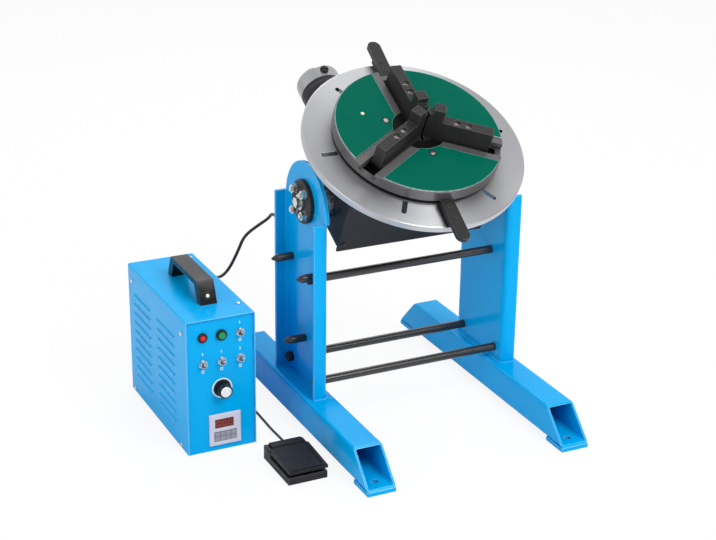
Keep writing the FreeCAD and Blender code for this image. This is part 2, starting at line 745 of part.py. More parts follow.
def at_angle(radius, degrees):
    """A place on a circle about the spindle."""
    return radius * math.cos(math.radians(degrees)), radius * math.sin(math.radians(degrees))


def spindle():
    """The hollow spindle and its flange."""
    shaft = cyl_z(housing_bottom - running_clearance - 6, spindle_flange_bottom, spindle_diameter / 2)
    flange = cyl_z(spindle_flange_bottom, table_top - table_thickness, spindle_flange_diameter / 2)
    cuts = [cyl_z(housing_bottom - 10, table_top, spindle_bore / 2)]
    for angle in spindle_bolt_angles():
        cuts.append(cyl_z(spindle_flange_bottom + 2, table_top, spindle_bolt / 2,
                          *at_angle(spindle_bolt_circle / 2, angle)))
    return cut_all(joined([shaft, flange]), cuts)


def table_disc():
    """The turntable with six radial slots and the bolt holes of its centre."""
    z0, z1 = table_top - table_thickness, table_top
    disc = cyl_z(z0, z1, table_diameter / 2)
    disc = disc.makeChamfer(1.2, [e for e in disc.Edges if e.Closed])
    cuts = [cyl_z(z0, z1, spindle_bore / 2)]
    for i in range(slot_count):
        slot = joined([box(slot_inner, slot_outer - slot_width / 2, -slot_width / 2, slot_width / 2, z0, z1),
                       cyl_z(z0, z1, slot_width / 2, slot_outer - slot_width / 2),
                       cyl_z(z0, z1, slot_width / 2, slot_inner)])
        cuts.append(turned(slot, 360.0 / slot_count * i))
    for angle in spindle_bolt_angles():
        place = at_angle(spindle_bolt_circle / 2, angle)
        cuts += [cyl_z(z0, z1, spindle_bolt / 2, *place), cyl_z(z1 - 6, z1, spindle_bolt * 0.85, *place)]
    for angle in chuck_bolt_angles():
        cuts.append(cyl_z(z0 + 2, z1, chuck_bolt / 2, *at_angle(chuck_bolt_radius, angle)))
    return cut_all(disc, cuts)


def spindle_bolt_at(angle):
    """A low cap screw that holds the table on the spindle flange."""
    place = at_angle(spindle_bolt_circle / 2, angle)
    head = cyl_z(table_top - 6, table_top - 0.5, spindle_bolt * 0.8, *place)
    return joined([head, cyl_z(spindle_flange_bottom + 3, table_top - 6, spindle_bolt / 2, *place)])


def chuck_bolt_angles():
    """The three chuck bolts stand midway between the jaws."""
    return [angle + 60 for angle in jaw_angles]


export("spindle", tilted(spindle()), tilted(wheel_collar()))
export("worm_wheel", tilted(worm_wheel()))
export("table_disc", tilted(table_disc()))


# ---- chuck: heights are above the table top ----
body_radius = body_diameter / 2
plate_radius = body_radius - 1.5
slot_half = base_jaw_width / 2 + jaw_clearance
slot_floor = base_jaw_bottom - jaw_clearance
scroll_start = scroll_outer - scroll_ridge / 2
scroll_turns = (scroll_outer - scroll_inner - scroll_ridge) / scroll_pitch
scroll_steps = 48              # straight pieces in one turn of the spiral ridge
lever_inner = max(body_diameter, ring_diameter) / 2 + lever_gap
plate_bore = 29.0
chuck_hub_bore = 26.0


def on_table(shape):
    """Take a piece from its height above the table top to its place at rest."""
    return tilted(moved(shape, 0, 0, table_top))


def radial_cut(half_width, z0, z1, inner=0.0, outer=table_diameter / 2):
    """Three radial channels, one for each jaw."""
    return [turned(box(inner, outer, -half_width, half_width, z0, z1), angle) for angle in jaw_angles]


def backplate():
    """The thin plate between the table and the chuck."""
    plate = ring_z(0, backplate_thickness, backplate_diameter / 2, chuck_hub_bore)
    return cut_all(plate, [cyl_z(0, backplate_thickness, chuck_bolt / 2, *at_angle(chuck_bolt_radius, a))
                           for a in chuck_bolt_angles()])


def chuck_body():
    """The steel body: a hub on the backplate, a hollow over the scroll and three T-shaped jaw ways."""
    body = cyl_z(body_bottom, body_top, body_radius)
    body = body.makeChamfer(1.0, [e for e in body.Edges if e.Closed and e.Vertexes[0].Z > body_top - 1])
    body = joined([body, cyl_z(backplate_thickness, body_bottom, hub_outer)])
    hollow = ring_z(body_bottom, scroll_relief, scroll_outer + 2, hub_outer)
    bore = cyl_z(backplate_thickness, body_top, chuck_hub_bore)
    ways = radial_cut(slot_half, slot_floor, body_top)
    grooves = radial_cut(slot_half + tongue_depth, tongue_bottom - jaw_clearance,
                         tongue_bottom + tongue_height + jaw_clearance)
    through = radial_cut(slot_half, scroll_relief - 1, slot_floor + 1, hub_outer, scroll_outer + 2)
    bolts = []
    for angle in chuck_bolt_angles():
        place = at_angle(chuck_bolt_radius, angle)
        bolts += [cyl_z(backplate_thickness, body_top, chuck_bolt / 2, *place),
                  cyl_z(body_top - chuck_bolt - 1, body_top, chuck_bolt * 0.85, *place)]
    return cut_all(body, [hollow, bore] + ways + grooves + through + bolts)


def chuck_bolt_at(angle):
    """A cap screw through the chuck into the table."""
    place = at_angle(chuck_bolt_radius, angle)
    seat = body_top - chuck_bolt - 1
    head = cyl_z(seat, seat + chuck_bolt, chuck_bolt * 0.8, *place)
    socket = hexagon(chuck_bolt * 0.75, 4.0, "z", seat + chuck_bolt - 4, *place)
    return joined([head, cyl_z(3 - table_thickness, seat, chuck_bolt / 2, *place)]).cut(socket)


def face_plate():
    """One of the three painted plates between the jaw channels."""
    middle = jaw_angles[0] + 60
    plate = ring_z(body_top, body_top + face_plate_thickness, plate_radius, plate_bore)
    strips = radial_cut(face_strip, body_top, body_top + face_plate_thickness)
    place = at_angle(chuck_bolt_radius, middle)
    plate = cut_all(plate, strips + [cyl_z(body_top, body_top + 5, chuck_bolt * 0.9, *place)])
    wanted = [s for s in plate.Solids
              if abs(math.degrees(math.atan2(s.CenterOfMass.y, s.CenterOfMass.x)) - middle) < 30]
    return wanted[0]


def scroll_edge(side):
    """Points along one edge of the spiral ridge; the ridge closes in as its angle grows."""
    steps = int(scroll_steps * scroll_turns)
    points = []
    for i in range(steps + 1):
        turn = scroll_turns * i / steps
        radius = scroll_start - scroll_pitch * turn + side * scroll_ridge / 2
        points.append((radius * math.cos(2 * math.pi * turn), radius * math.sin(2 * math.pi * turn)))
    return points


def scroll_ring():
    """The ring that the levers turn, with a spiral ridge that drives the jaws and a lug for each lever."""
    outline = scroll_edge(1) + scroll_edge(-1)[::-1]
    ridge = prism(outline, "z", ring_top - 0.5, scroll_height + 0.5)
    disc = cyl_z(ring_bottom, ring_top, ring_diameter / 2)
    lugs = []
    for angle in (lever_angle, lever_angle + 180):
        lug = box(hub_outer + 20, lever_lug_outer, -lever_width / 2, lever_width / 2, ring_bottom, lever_bottom)
        lug = cut_all(lug, [cyl_z(ring_bottom, lever_bottom, cover_screw / 2, x, 0)
                            for x in lever_screw_places()])
        lugs.append(turned(lug, angle))
    ring = joined([disc] + lugs).cut(cyl_z(ring_bottom, ring_top, hub_outer + running_clearance))
    return ring.fuse(ridge)


def lever_screw_places():
    """Where two screws hold a lever on its lug."""
    return [lever_inner + 15, lever_lug_outer - 10]


def lever(angle):
    """A flat lever bar with a round end, on the ring's lug."""
    half = lever_width / 2
    bar = joined([box(lever_inner, lever_outer - half, -half, half, 0, lever_thickness),
                  cyl_z(0, lever_thickness, half, lever_outer - half)])
    bar = cut_all(bar, [cyl_z(0, lever_thickness, cover_screw / 2, x, 0) for x in lever_screw_places()])
    return turned(moved(bar, 0, 0, lever_bottom), angle)


def lever_screw(x, angle):
    """A low button screw on a lever."""
    top = lever_bottom + lever_thickness
    head = cyl_z(top, top + 0.9, cover_screw * 0.8, x, 0)
    return turned(joined([head, cyl_z(ring_bottom + 0.5, top, cover_screw / 2, x, 0)]), angle)


export("chuck_backplate", on_table(backplate()))
export("chuck_body", on_table(chuck_body()))
table_bolts = [tilted(spindle_bolt_at(angle)) for angle in spindle_bolt_angles()]
export("table_bolts", *table_bolts + [on_table(chuck_bolt_at(angle)) for angle in chuck_bolt_angles()])
export("face_plates", *[on_table(turned(face_plate(), 120 * i)) for i in range(3)])
export("scroll_ring", on_table(scroll_ring()))
lever_angles = (lever_angle, lever_angle + 180)
lever_screws = [on_table(lever_screw(x, angle)) for angle in lever_angles for x in lever_screw_places()]
export("lever_handles", *[on_table(lever(angle)) for angle in lever_angles] + lever_screws)


# ---- jaws, built along +X and turned to their places ----
def wedge_tip(half_width, inner, z0, z1):
    """What is cut off a jaw's inner end, so that the three close at 120 degrees without touching."""
    start = jaw_closing + jaw_clearance * 2
    tall = half_width + 2
    reach = start + tall / math.tan(math.radians(60))
    return [prism([(-10, side * tall), (reach, side * tall), (start, 0), (-10, 0)], "z", z0, z1 - z0)
            for side in (-1, 1)] + [box(-10, inner, -tall, tall, z0, z1)]


def base_jaw(angle):
    """The base jaw: a slide with a tongue on each side and teeth that fit the scroll."""
    half = base_jaw_width / 2
    slide = box(base_jaw_inner, base_jaw_outer, -half, half, base_jaw_bottom, base_jaw_top)
    tongues = box(base_jaw_inner, base_jaw_outer, -half - tongue_depth, half + tongue_depth, tongue_bottom,
                  tongue_bottom + tongue_height)
    tooth_bottom = ring_top + 3 * jaw_clearance
    phase = (scroll_start + scroll_pitch / 2 - scroll_pitch * angle / 360 - scroll_inner) % scroll_pitch
    first = scroll_inner + scroll_pitch + phase
    teeth = []
    for i in range(jaw_teeth):
        radius = first + scroll_pitch * i
        arc = ring_z(tooth_bottom, base_jaw_bottom + 1, radius + jaw_tooth / 2, radius - jaw_tooth / 2)
        teeth.append(arc.common(box(0, 2 * radius, -half + 4.5, half - 4.5, tooth_bottom, base_jaw_bottom + 1)))
    tapped = [cyl_z(base_jaw_bottom + 2, base_jaw_top, jaw_screw / 2, x, 0) for x in jaw_screws]
    jaw = joined([slide, tongues] + teeth)
    tip = wedge_tip(half + tongue_depth, base_jaw_inner, base_jaw_bottom - 6, base_jaw_top)
    return cut_all(jaw, tip + tapped)


def top_jaw():
    """The stepped top jaw: a bar with a raised inner block and two counterbored screw holes."""
    half = jaw_width / 2
    outline = [(jaw_inner, base_jaw_top), (jaw_outer, base_jaw_top), (jaw_outer, jaw_top),
               (jaw_block_outer, jaw_top), (jaw_block_outer, jaw_block_top), (jaw_step_radius, jaw_block_top),
               (jaw_step_radius, jaw_step_top), (jaw_inner, jaw_step_top)]
    bar = prism(outline, "y", -half, jaw_width)
    bores = []
    for x in jaw_screws:
        bores += [cyl_z(base_jaw_top, jaw_top, jaw_screw / 2, x, 0),
                  cyl_z(jaw_top - jaw_counterbore_depth, jaw_top, jaw_screw_head / 2 + jaw_clearance, x, 0)]
    return cut_all(bar, wedge_tip(half, jaw_inner, base_jaw_top, jaw_block_top) + bores)


def jaw_screw_at(x):
    """A cap screw in a top jaw."""
    seat = jaw_top - jaw_counterbore_depth
    head = cyl_z(seat, seat + jaw_screw_head_height, jaw_screw_head / 2, x, 0)
    socket = hexagon(jaw_screw * 0.75, 4.0, "z", seat + jaw_screw_head_height - 4, x, 0)
    return joined([head, cyl_z(base_jaw_bottom + 3, seat, jaw_screw / 2, x, 0)]).cut(socket)


for number, angle in enumerate(jaw_angles, 1):
    export("base_jaw_%d" % number, on_table(turned(base_jaw(angle), angle)))
    export("top_jaw_%d" % number,
           *[on_table(turned(s, angle)) for s in [top_jaw()] + [jaw_screw_at(x) for x in jaw_screws]])


# ---- control box ----
box_right = box_left + box_width
box_rear = box_front + box_depth
panel_y = box_front + panel_inset              # front face of the front panel
rear_panel_y = box_rear - panel_inset          # rear face of the rear panel
sheet_gap = 0.1
tray_left = box_left + box_sheet + sheet_gap
tray_right = box_right - box_sheet - sheet_gap
tray_top = box_height - box_sheet - sheet_gap
flange = 14.0
low_screw_z = 8.0
high_screw_z = box_height - 25.0
side_screw_places = [(31.0, low_screw_z), (box_depth - 18.0, low_screw_z), (20.0, high_screw_z),
                     (box_depth - 20.0, high_screw_z)]
top_screw_places = [(12.0, 40.0), (12.0, box_depth - 21.0)]   # from the right side, from the front
case_screw = 4.0
lamp_hole = 12.0
lens_diameter = 9.0
lens_proud = 7.0               # in front of the panel
bezel_proud = 3.0
button_hole = 14.0
toggle_hole = 12.0
knob_hole = 8.0
meter_width = 54.0
meter_height = 55.0
meter_cutout = 48.0
socket_hole = 16.0
motor_socket = (30.0, 150.0)                   # from the right side, height
pedal_socket = (60.0, 35.0)
mains_inlet = (86.0, 150.0)
inlet_width = 27.0
inlet_height = 20.0


def panel_x(from_left):
    """A place across the front panel."""
    return box_left + from_left


def toggle_places():
    """The four toggle switches: x and z on the panel."""
    left, middle, right = (panel_x(x) for x in panel_columns)
    return [(left, panel_middle_z), (middle, panel_middle_z), (right, panel_middle_z), (right, panel_upper_z)]


lamp_place = (panel_x(panel_columns[0]), panel_upper_z)
button_place = (panel_x(panel_columns[1]), panel_upper_z)
knob_place = (panel_x(panel_columns[1]), knob_z)
meter_place = (panel_x(panel_columns[1] + 3), meter_z)
motor_socket_place = (box_right - motor_socket[0], motor_socket[1])
pedal_socket_place = (box_right - pedal_socket[0], pedal_socket[1])
inlet_place = (box_right - mains_inlet[0], mains_inlet[1])


def box_chassis():
    """A folded tray: floor, front and rear panels with flanges that the cover is screwed to."""
    x0, x1 = tray_left, tray_right
    parts = [box(x0, x1, panel_y, rear_panel_y, 0, box_sheet),
             box(x0, x1, panel_y, panel_y + box_sheet, 0, tray_top),
             box(x0, x1, rear_panel_y - box_sheet, rear_panel_y, 0, tray_top)]
    for x in (x0, x1 - box_sheet):
        parts.append(box(x, x + box_sheet, panel_y, rear_panel_y, 0, flange))
        parts.append(box(x, x + box_sheet, panel_y, panel_y + 1.6 * flange, 0, tray_top))
        parts.append(box(x, x + box_sheet, rear_panel_y - 1.6 * flange, rear_panel_y, 0, tray_top))
    ledge = 44.0 - panel_inset + flange / 2
    parts.append(box(x0, x1, panel_y, panel_y + ledge, tray_top - box_sheet, tray_top))
    parts.append(box(x0, x1, rear_panel_y - 2 * flange, rear_panel_y, tray_top - box_sheet, tray_top))
    holes = []
    for (x, z), size in [(lamp_place, lamp_hole), (button_place, button_hole), (knob_place, knob_hole)] + \
            [(place, toggle_hole) for place in toggle_places()]:
        holes.append(cyl_y(panel_y, panel_y + box_sheet, size / 2, x, z))
    for x, z in (motor_socket_place, pedal_socket_place):
        holes.append(cyl_y(rear_panel_y - box_sheet, rear_panel_y, socket_hole / 2, x, z))
    x, z = inlet_place
    holes.append(box(x - inlet_width / 2, x + inlet_width / 2, rear_panel_y - box_sheet, rear_panel_y,
                     z - inlet_height / 2, z + inlet_height / 2))
    x, z = meter_place
    holes.append(box(x - meter_cutout / 2, x + meter_cutout / 2, panel_y, panel_y + box_sheet,
                     z - meter_cutout / 2, min(z + meter_cutout / 2, tray_top)))
    return cut_all(joined(parts), holes + screw_holes())


def screw_holes():
    """Holes of the cover screws, through cover and tray."""
    holes = []
    for y, z in side_screw_places:
        holes.append(cyl_x(box_left, box_left + 6, case_screw / 2, box_front + y, z))
        holes.append(cyl_x(box_right - 6, box_right, case_screw / 2, box_front + y, z))
    for x, y in top_screw_places:
        holes.append(cyl_z(box_height - 6, box_height, case_screw / 2, box_right - x, box_front + y))
    return holes


def louvre(y, z):
    """A pressed louvre on the left side: a slanting hood over a slit, closed at its ends."""
    slope = [(box_left, z + louvre_height), (box_left - louvre_proud, z + 0.8), (box_left - louvre_proud, z),
             (box_left + box_sheet, z), (box_left + box_sheet, z + louvre_height)]
    hood = prism(slope, "y", y, louvre_length)
    inner = [(box_left + box_sheet, z + louvre_height - 1.2), (box_left - louvre_proud + 1, z + 0.8),
             (box_left - louvre_proud + 1, z), (box_left + box_sheet, z)]
    return hood, prism(inner, "y", y + 1, louvre_length - 2)


def box_cover():
    """The folded cover: a top and two sides that stand past the panels, with louvres in both sides."""
    outside = rounded_block(box_left, box_right, box_front, box_rear, box_sheet + sheet_gap, box_height, 2.5, "y")
    foot = box(box_left, box_right, box_front, box_rear, box_sheet + sheet_gap, 2 * box_sheet + 5)
    outside = outside.fuse(foot).removeSplitter()
    inside = box(box_left + box_sheet, box_right - box_sheet, box_front, box_rear, 0, box_height - box_sheet)
    cover = outside.cut(inside)
    hoods, hollows = [], []
    for start in (louvre_front_y, box_depth - louvre_rear_inset - louvre_length):
        for i in range(louvre_count):
            hood, hollow = louvre(box_front + start, louvre_start_z + i * louvre_pitch)
            for one, group in ((hood, hoods), (hollow, hollows)):
                group += [one, moved(mirrored_x(one), box_left + box_right, 0, 0)]
    cover = cover.fuse(hoods).cut(Part.makeCompound(hollows))
    holes = [cyl_z(box_height - box_sheet, box_height, case_screw / 2, x, y) for x, y in handle_screw_places()]
    return cut_all(cover, screw_holes() + holes)


handle_x = 60.0                # from the left side to the middle of the handle
handle_width = 28.0
handle_front = 55.0
handle_rear = 205.0
handle_foot = 16.0
handle_rise = 36.0
handle_strap = 9.0


def handle_screw_places():
    """The two screws that hold the carry handle from below."""
    return [(box_left + handle_x, box_front + handle_front + handle_foot / 2),
            (box_left + handle_x, box_front + handle_rear - handle_foot / 2)]


def carry_handle():
    """A moulded strap handle: two feet, sloping shoulders and a rounded grip."""
    front, rear, low, high = box_front + handle_front, box_front + handle_rear, box_height, box_height + handle_rise
    x0 = box_left + handle_x - handle_width / 2
    outline = [(front, low), (front + handle_foot, low), (front + handle_foot + 3, low + 8),
               (front + handle_foot + 12, high - handle_strap), (rear - handle_foot - 12, high - handle_strap),
               (rear - handle_foot - 3, low + 8), (rear - handle_foot, low), (rear, low),
               (rear - 3, low + 10), (rear - 15, high), (front + 15, high), (front + 3, low + 10)]
    grip = prism(outline, "x", x0, handle_width)
    along = [e for e in grip.Edges if abs(e.tangentAt(e.FirstParameter).x) > 0.9
             and e.Vertexes[0].Z > low + 7]
    grip = grip.makeFillet(2.4, along)
    tapped = [cyl_z(low, low + 7, case_screw / 2, x, y) for x, y in handle_screw_places()]
    return cut_all(grip, tapped)


def case_screws():
    """Round-head screws in the cover's sides and top, and two that reach up into the handle."""
    screws = []
    for y, z in side_screw_places:
        head = cyl_x(box_left - 2.2, box_left, case_screw * 0.9, box_front + y, z)
        head = head.makeChamfer(1.0, [e for e in head.Edges if e.Closed and e.Vertexes[0].X < box_left - 1])
        one = joined([head, cyl_x(box_left, box_left + 6, case_screw / 2, box_front + y, z)])
        screws += [one, moved(mirrored_x(one), box_left + box_right, 0, 0)]
    for x, y in top_screw_places:
        head = cyl_z(box_height, box_height + 2.2, case_screw * 0.9, box_right - x, box_front + y)
        head = head.makeChamfer(1.0, [e for e in head.Edges if e.Closed and e.Vertexes[0].Z > box_height + 1])
        screws.append(joined([head, cyl_z(box_height - 6, box_height, case_screw / 2, box_right - x, box_front + y)]))
    for x, y in handle_screw_places():
        under = box_height - box_sheet
        screws.append(joined([cyl_z(under - 2.5, under, case_screw * 0.9, x, y),
                              cyl_z(under, box_height + 6, case_screw / 2, x, y)]))
    return screws


def lamp_and_bezel():
    """The pilot lamp's red lens and its nickel bezel."""
    x, z = lamp_place
    lens = cyl_y(panel_y - lens_proud, panel_y + 1.5 * lamp_hole, lens_diameter / 2, x, z)
    lens = lens.makeChamfer(2.4, [e for e in lens.Edges if e.Closed and e.Vertexes[0].Y < panel_y - 1])
    collar = joined([cyl_y(panel_y - bezel_proud, panel_y, lamp_hole * 2 / 3, x, z),
                     cyl_y(panel_y, panel_y + lamp_hole, lamp_hole / 2, x, z)])
    return lens, collar.cut(cyl_y(panel_y - bezel_proud, panel_y + lamp_hole, lens_diameter / 2, x, z))


button_travel = 3.0


def button_and_bezel():
    """The push button's green cap on its plunger, and the bezel and barrel that it slides in."""
    x, z = button_place
    cap = cyl_y(panel_y - 7, panel_y - 4.5 + button_travel + 0.5, 5.5, x, z)
    cap = cap.makeChamfer(0.8, [e for e in cap.Edges if e.Closed and e.Vertexes[0].Y < panel_y - 6])
    plunger = cyl_y(panel_y - 2, panel_y + 14, 3.0, x, z)
    barrel = joined([cyl_y(panel_y - 3.5, panel_y, 9, x, z), cyl_y(panel_y, panel_y + 20, button_hole / 2, x, z)])
    well = cyl_y(panel_y - 3.5, panel_y + 3.5, 5.5 + 2 * running_clearance, x, z)
    bore = cyl_y(panel_y, panel_y + 14 + button_travel + 0.5, 3.0 + running_clearance, x, z)
    return joined([cap, plunger]), cut_all(barrel, [well, bore])


toggle_angle = 14.0            # lever position either side of straight out
toggle_pivot = 2.0             # behind the panel face
toggle_reach = 19.5            # from its pivot to its tip
pivot_radius = 3.2
pivot_length = 4.4
pivot_clearance = 0.4


def toggle_switch(x, z):
    """A toggle's body behind the panel and its threaded bushing and nut, hollowed for the lever."""
    nut = hexagon(13.0, 2.2, "y", panel_y - 2.2, x, z)
    bushing = cyl_y(panel_y - 7, panel_y + 6, toggle_hole / 2 - 0.1, x, z)
    body = box(x - 7, x + 7, panel_y + box_sheet + 0.3, panel_y + 20, z - 12, z + 12)
    throat = Part.makeCone(4.9, 3.4, 8, FreeCAD.Vector(x, panel_y - 7, z), FreeCAD.Vector(0, 1, 0))
    reach = pivot_length / 2 + pivot_clearance
    socket = cyl_x(x - reach, x + reach, pivot_radius + pivot_clearance, panel_y + toggle_pivot, z)
    return cut_all(joined([nut, bushing, body]), [throat, socket])


def toggle_lever(x, z):
    """A bat-shaped lever on a short cross pivot, thrown up."""
    pivot = cyl_x(-pivot_length / 2, pivot_length / 2, pivot_radius)
    out = FreeCAD.Vector(0, -1, 0)
    stem = Part.makeCone(1.9, 2.8, toggle_reach - 2, FreeCAD.Vector(0, 0, 0), out)
    tip = Part.makeCone(2.8, 1.6, 2, FreeCAD.Vector(0, 2 - toggle_reach, 0), out)
    lever_shape = joined([pivot, stem, tip])
    lever_shape.rotate(FreeCAD.Vector(0, 0, 0), FreeCAD.Vector(1, 0, 0), -toggle_angle)
    return moved(lever_shape, x, panel_y + toggle_pivot, z)


grip_flutes = 18
dial_diameter = 34.0
skirt_diameter = 30.0
knob_proud = 18.0              # in front of the panel


def speed_control():
    """The numbered dial on the panel, the knob on its shaft, and the potentiometer behind."""
    x, z = knob_place
    dial = cyl_y(panel_y - 0.8, panel_y, dial_diameter / 2, x, z).cut(
        cyl_y(panel_y - 0.8, panel_y, knob_hole / 2, x, z))
    skirt = Part.makeCone(skirt_diameter / 2, skirt_diameter / 2 - 2, 5, FreeCAD.Vector(x, panel_y - 1.1, z),
                          FreeCAD.Vector(0, -1, 0))
    rim = []
    for i in range(3 * grip_flutes):
        radius, angle = (10.7 if i % 3 == 0 else 11.5), 2 * math.pi * i / (3 * grip_flutes)
        rim.append((x + radius * math.cos(angle), z + radius * math.sin(angle)))
    face_y = panel_y - knob_proud + 0.5
    grip = prism(rim, "y", face_y, panel_y - 6.1 - face_y)
    face = Part.makeCone(10.6, 10.2, 0.5, FreeCAD.Vector(x, face_y, z), FreeCAD.Vector(0, -1, 0))
    shaft = cyl_y(panel_y - 6.1, panel_y + 8, 3.0, x, z)
    knob = joined([skirt, grip, face, shaft])
    nut_end = panel_y + box_sheet
    pot = joined([cyl_y(panel_y, nut_end, knob_hole / 2, x, z), cyl_y(nut_end, panel_y + 14, 12, x, z)])
    pot = pot.cut(cyl_y(panel_y, panel_y + 8.5, 3.0 + running_clearance, x, z))
    return dial, knob, pot


def meter():
    """The panel meter: its frame and body, the display window and the keypad."""
    x, z = meter_place
    half_w, half_h = meter_width / 2, meter_height / 2
    frame = box(x - half_w, x + half_w, panel_y - 4, panel_y, z - half_h, z + half_h)
    frame = frame.makeChamfer(1.2, [e for e in frame.Edges if e.BoundBox.YMax < panel_y - 3.9])
    half = meter_cutout / 2 - 0.2
    body = box(x - half, x + half, panel_y, panel_y + 60, z - half, z + half)
    window = box(x - 17.5, x + 14, panel_y - 4, panel_y - 2.5, z + 3.5, z + 18.5)
    keys = box(x - 19, x + 19, panel_y - 4, panel_y - 2.5, z - 20, z - 3)
    return joined([frame, body]).cut(window).cut(keys), window, keys


def rear_fittings():
    """Two round cable sockets and the mains inlet on the rear panel."""
    fittings = []
    for x, z in (motor_socket_place, pedal_socket_place):
        rim = joined([cyl_y(rear_panel_y, rear_panel_y + 3, socket_hole / 2 + 3, x, z),
                      cyl_y(rear_panel_y - 12, rear_panel_y, socket_hole / 2, x, z)])
        fittings.append(rim.cut(cyl_y(rear_panel_y - 8, rear_panel_y + 3, socket_hole / 2 - 2, x, z)))
    x, z = inlet_place
    w, h = inlet_width / 2, inlet_height / 2
    body = joined([box(x - w - 11, x + w + 11, rear_panel_y, rear_panel_y + 2, z - h - 1, z + h + 1),
                   box(x - w, x + w, rear_panel_y - 18, rear_panel_y, z - h, z + h)])
    body = body.cut(box(x - w + 2, x + w - 2, rear_panel_y - 14, rear_panel_y + 2, z - h + 2, z + h - 2))
    pins = [box(x + dx - 1, x + dx + 1, rear_panel_y - 14, rear_panel_y - 1, z + dz - 2, z + dz + 2)
            for dx, dz in ((-7, -2), (0, 2), (7, -2))]
    fittings.append(joined([body] + pins))
    return fittings


board_margin = 12.0            # from the tray's sides
board_length = 80.0
board_height = 14.0
board_thickness = 1.6
standoff_diameter = 6.0
part_width = 16.0              # of each large part on the board
part_length = 30.0
core_length = 40.0
core_top = 62.0
core_to_rear = 43.0            # from the transformer core to the rear panel
core_to_board = 15.0
coil_overhang = 10.0
coil_bottom = 16.0
coil_top = 50.0


def electrics():
    """The circuit board on its stand-offs and the transformer on the floor of the box."""
    x0, x1 = tray_left + board_margin, tray_right - board_margin
    core_y = rear_panel_y - core_to_rear - core_length
    y0 = core_y - core_to_board - board_length
    board_top = board_height + board_thickness
    board = box(x0, x1, y0, y0 + board_length, board_height, board_top)
    posts = [cyl_z(box_sheet, board_height, standoff_diameter / 2, x, y)
             for x in (x0 + standoff_diameter, x1 - standoff_diameter)
             for y in (y0 + standoff_diameter, y0 + board_length - standoff_diameter)]
    middle = (x0 + x1) / 2
    parts = [box(middle + (1.5 * i - 0.5) * part_width, middle + (1.5 * i + 0.5) * part_width,
                 y0 + board_length / 4, y0 + board_length / 4 + part_length, board_height, board_top + 10 + 3 * i)
             for i in (-1, 0, 1)]
    core = box(x0 + board_margin, x1 - board_margin, core_y, core_y + core_length, box_sheet, core_top)
    coil = rounded_block(x0 + 2 * board_margin, x1 - 2 * board_margin, core_y - coil_overhang,
                         core_y + core_length + coil_overhang, coil_bottom, coil_top, board_margin / 2, "z")
    return [joined([board] + posts + parts), joined([core, coil])]


def case_node_pieces():
    """Bezels, bushings, dial and potentiometer that stay fixed on the panel."""
    dial, knob, pot = speed_control()
    pieces = [lamp_and_bezel()[1], button_and_bezel()[1], dial, pot]
    return pieces + [toggle_switch(x, z) for x, z in toggle_places()]


export("box_chassis", box_chassis())
export("box_cover", box_cover())
export("carry_handle", carry_handle())
export("case_screws", *case_screws())
export("panel_fittings", *case_node_pieces())
export("pilot_lamp", lamp_and_bezel()[0])
export("push_button", button_and_bezel()[0])
for number, (x, z) in enumerate(toggle_places(), 1):
    export("toggle_lever_%d" % number, toggle_lever(x, z))
export("speed_knob", speed_control()[1])
meter_frame, meter_window, meter_keys = meter()
export("meter_frame", meter_frame)
export("meter_face", meter_window, meter_keys)
export("rear_sockets", *rear_fittings())
export("box_electrics", *electrics())


# ---- foot pedal ----
pedal_right = pedal_left + pedal_width
pedal_rear = pedal_front + pedal_length
cheek = 5.0
pin_radius = 3.0
pin_inset = 13.0
pin_y = pedal_rear - pin_inset
pin_z = 19.0
pedal_press = 4.0              # degrees
flap_rear_z = 30.0
flap_front_z = 24.0
flap_gap = 7.0                 # under the flap's front edge


def pedal_base():
    """The cast base: a heavy tray with a cheek on each side for the hinge pin."""
    x0, x1 = pedal_left, pedal_right
    base_top = flap_front_z - flap_gap - 5
    outline = [(pedal_front + 3, 0), (pedal_rear, 0), (pedal_rear, base_top), (pedal_front + 3, base_top)]
    tray = prism(outline, "x", x0, pedal_width)
    tray = tray.cut(box(x0 + cheek, x1 - cheek, pedal_front + 8, pedal_rear - 30, 4, base_top))
    cheeks = []
    for x in (x0, x1 - cheek):
        plate = box(x, x + cheek, pin_y - 12, pedal_rear, base_top, pin_z + 6)
        edges = [e for e in plate.Edges if abs(e.tangentAt(e.FirstParameter).x) > 0.9 and e.Vertexes[0].Z > pin_z]
        cheeks.append(plate.makeFillet(4.0, edges))
    post = cyl_z(4, base_top - 1, 6, (x0 + x1) / 2, pedal_front + 45)
    body = joined([tray, post] + cheeks)
    return body.cut(cyl_x(x0, x1, pin_radius, pin_y, pin_z))


def pedal_pin():
    """The bright hinge pin, with a head on its left end."""
    pin = cyl_x(pedal_left, pedal_right, pin_radius, pin_y, pin_z)
    return joined([pin, cyl_x(pedal_left - 1.5, pedal_left, pin_radius + 1.5, pin_y, pin_z)])


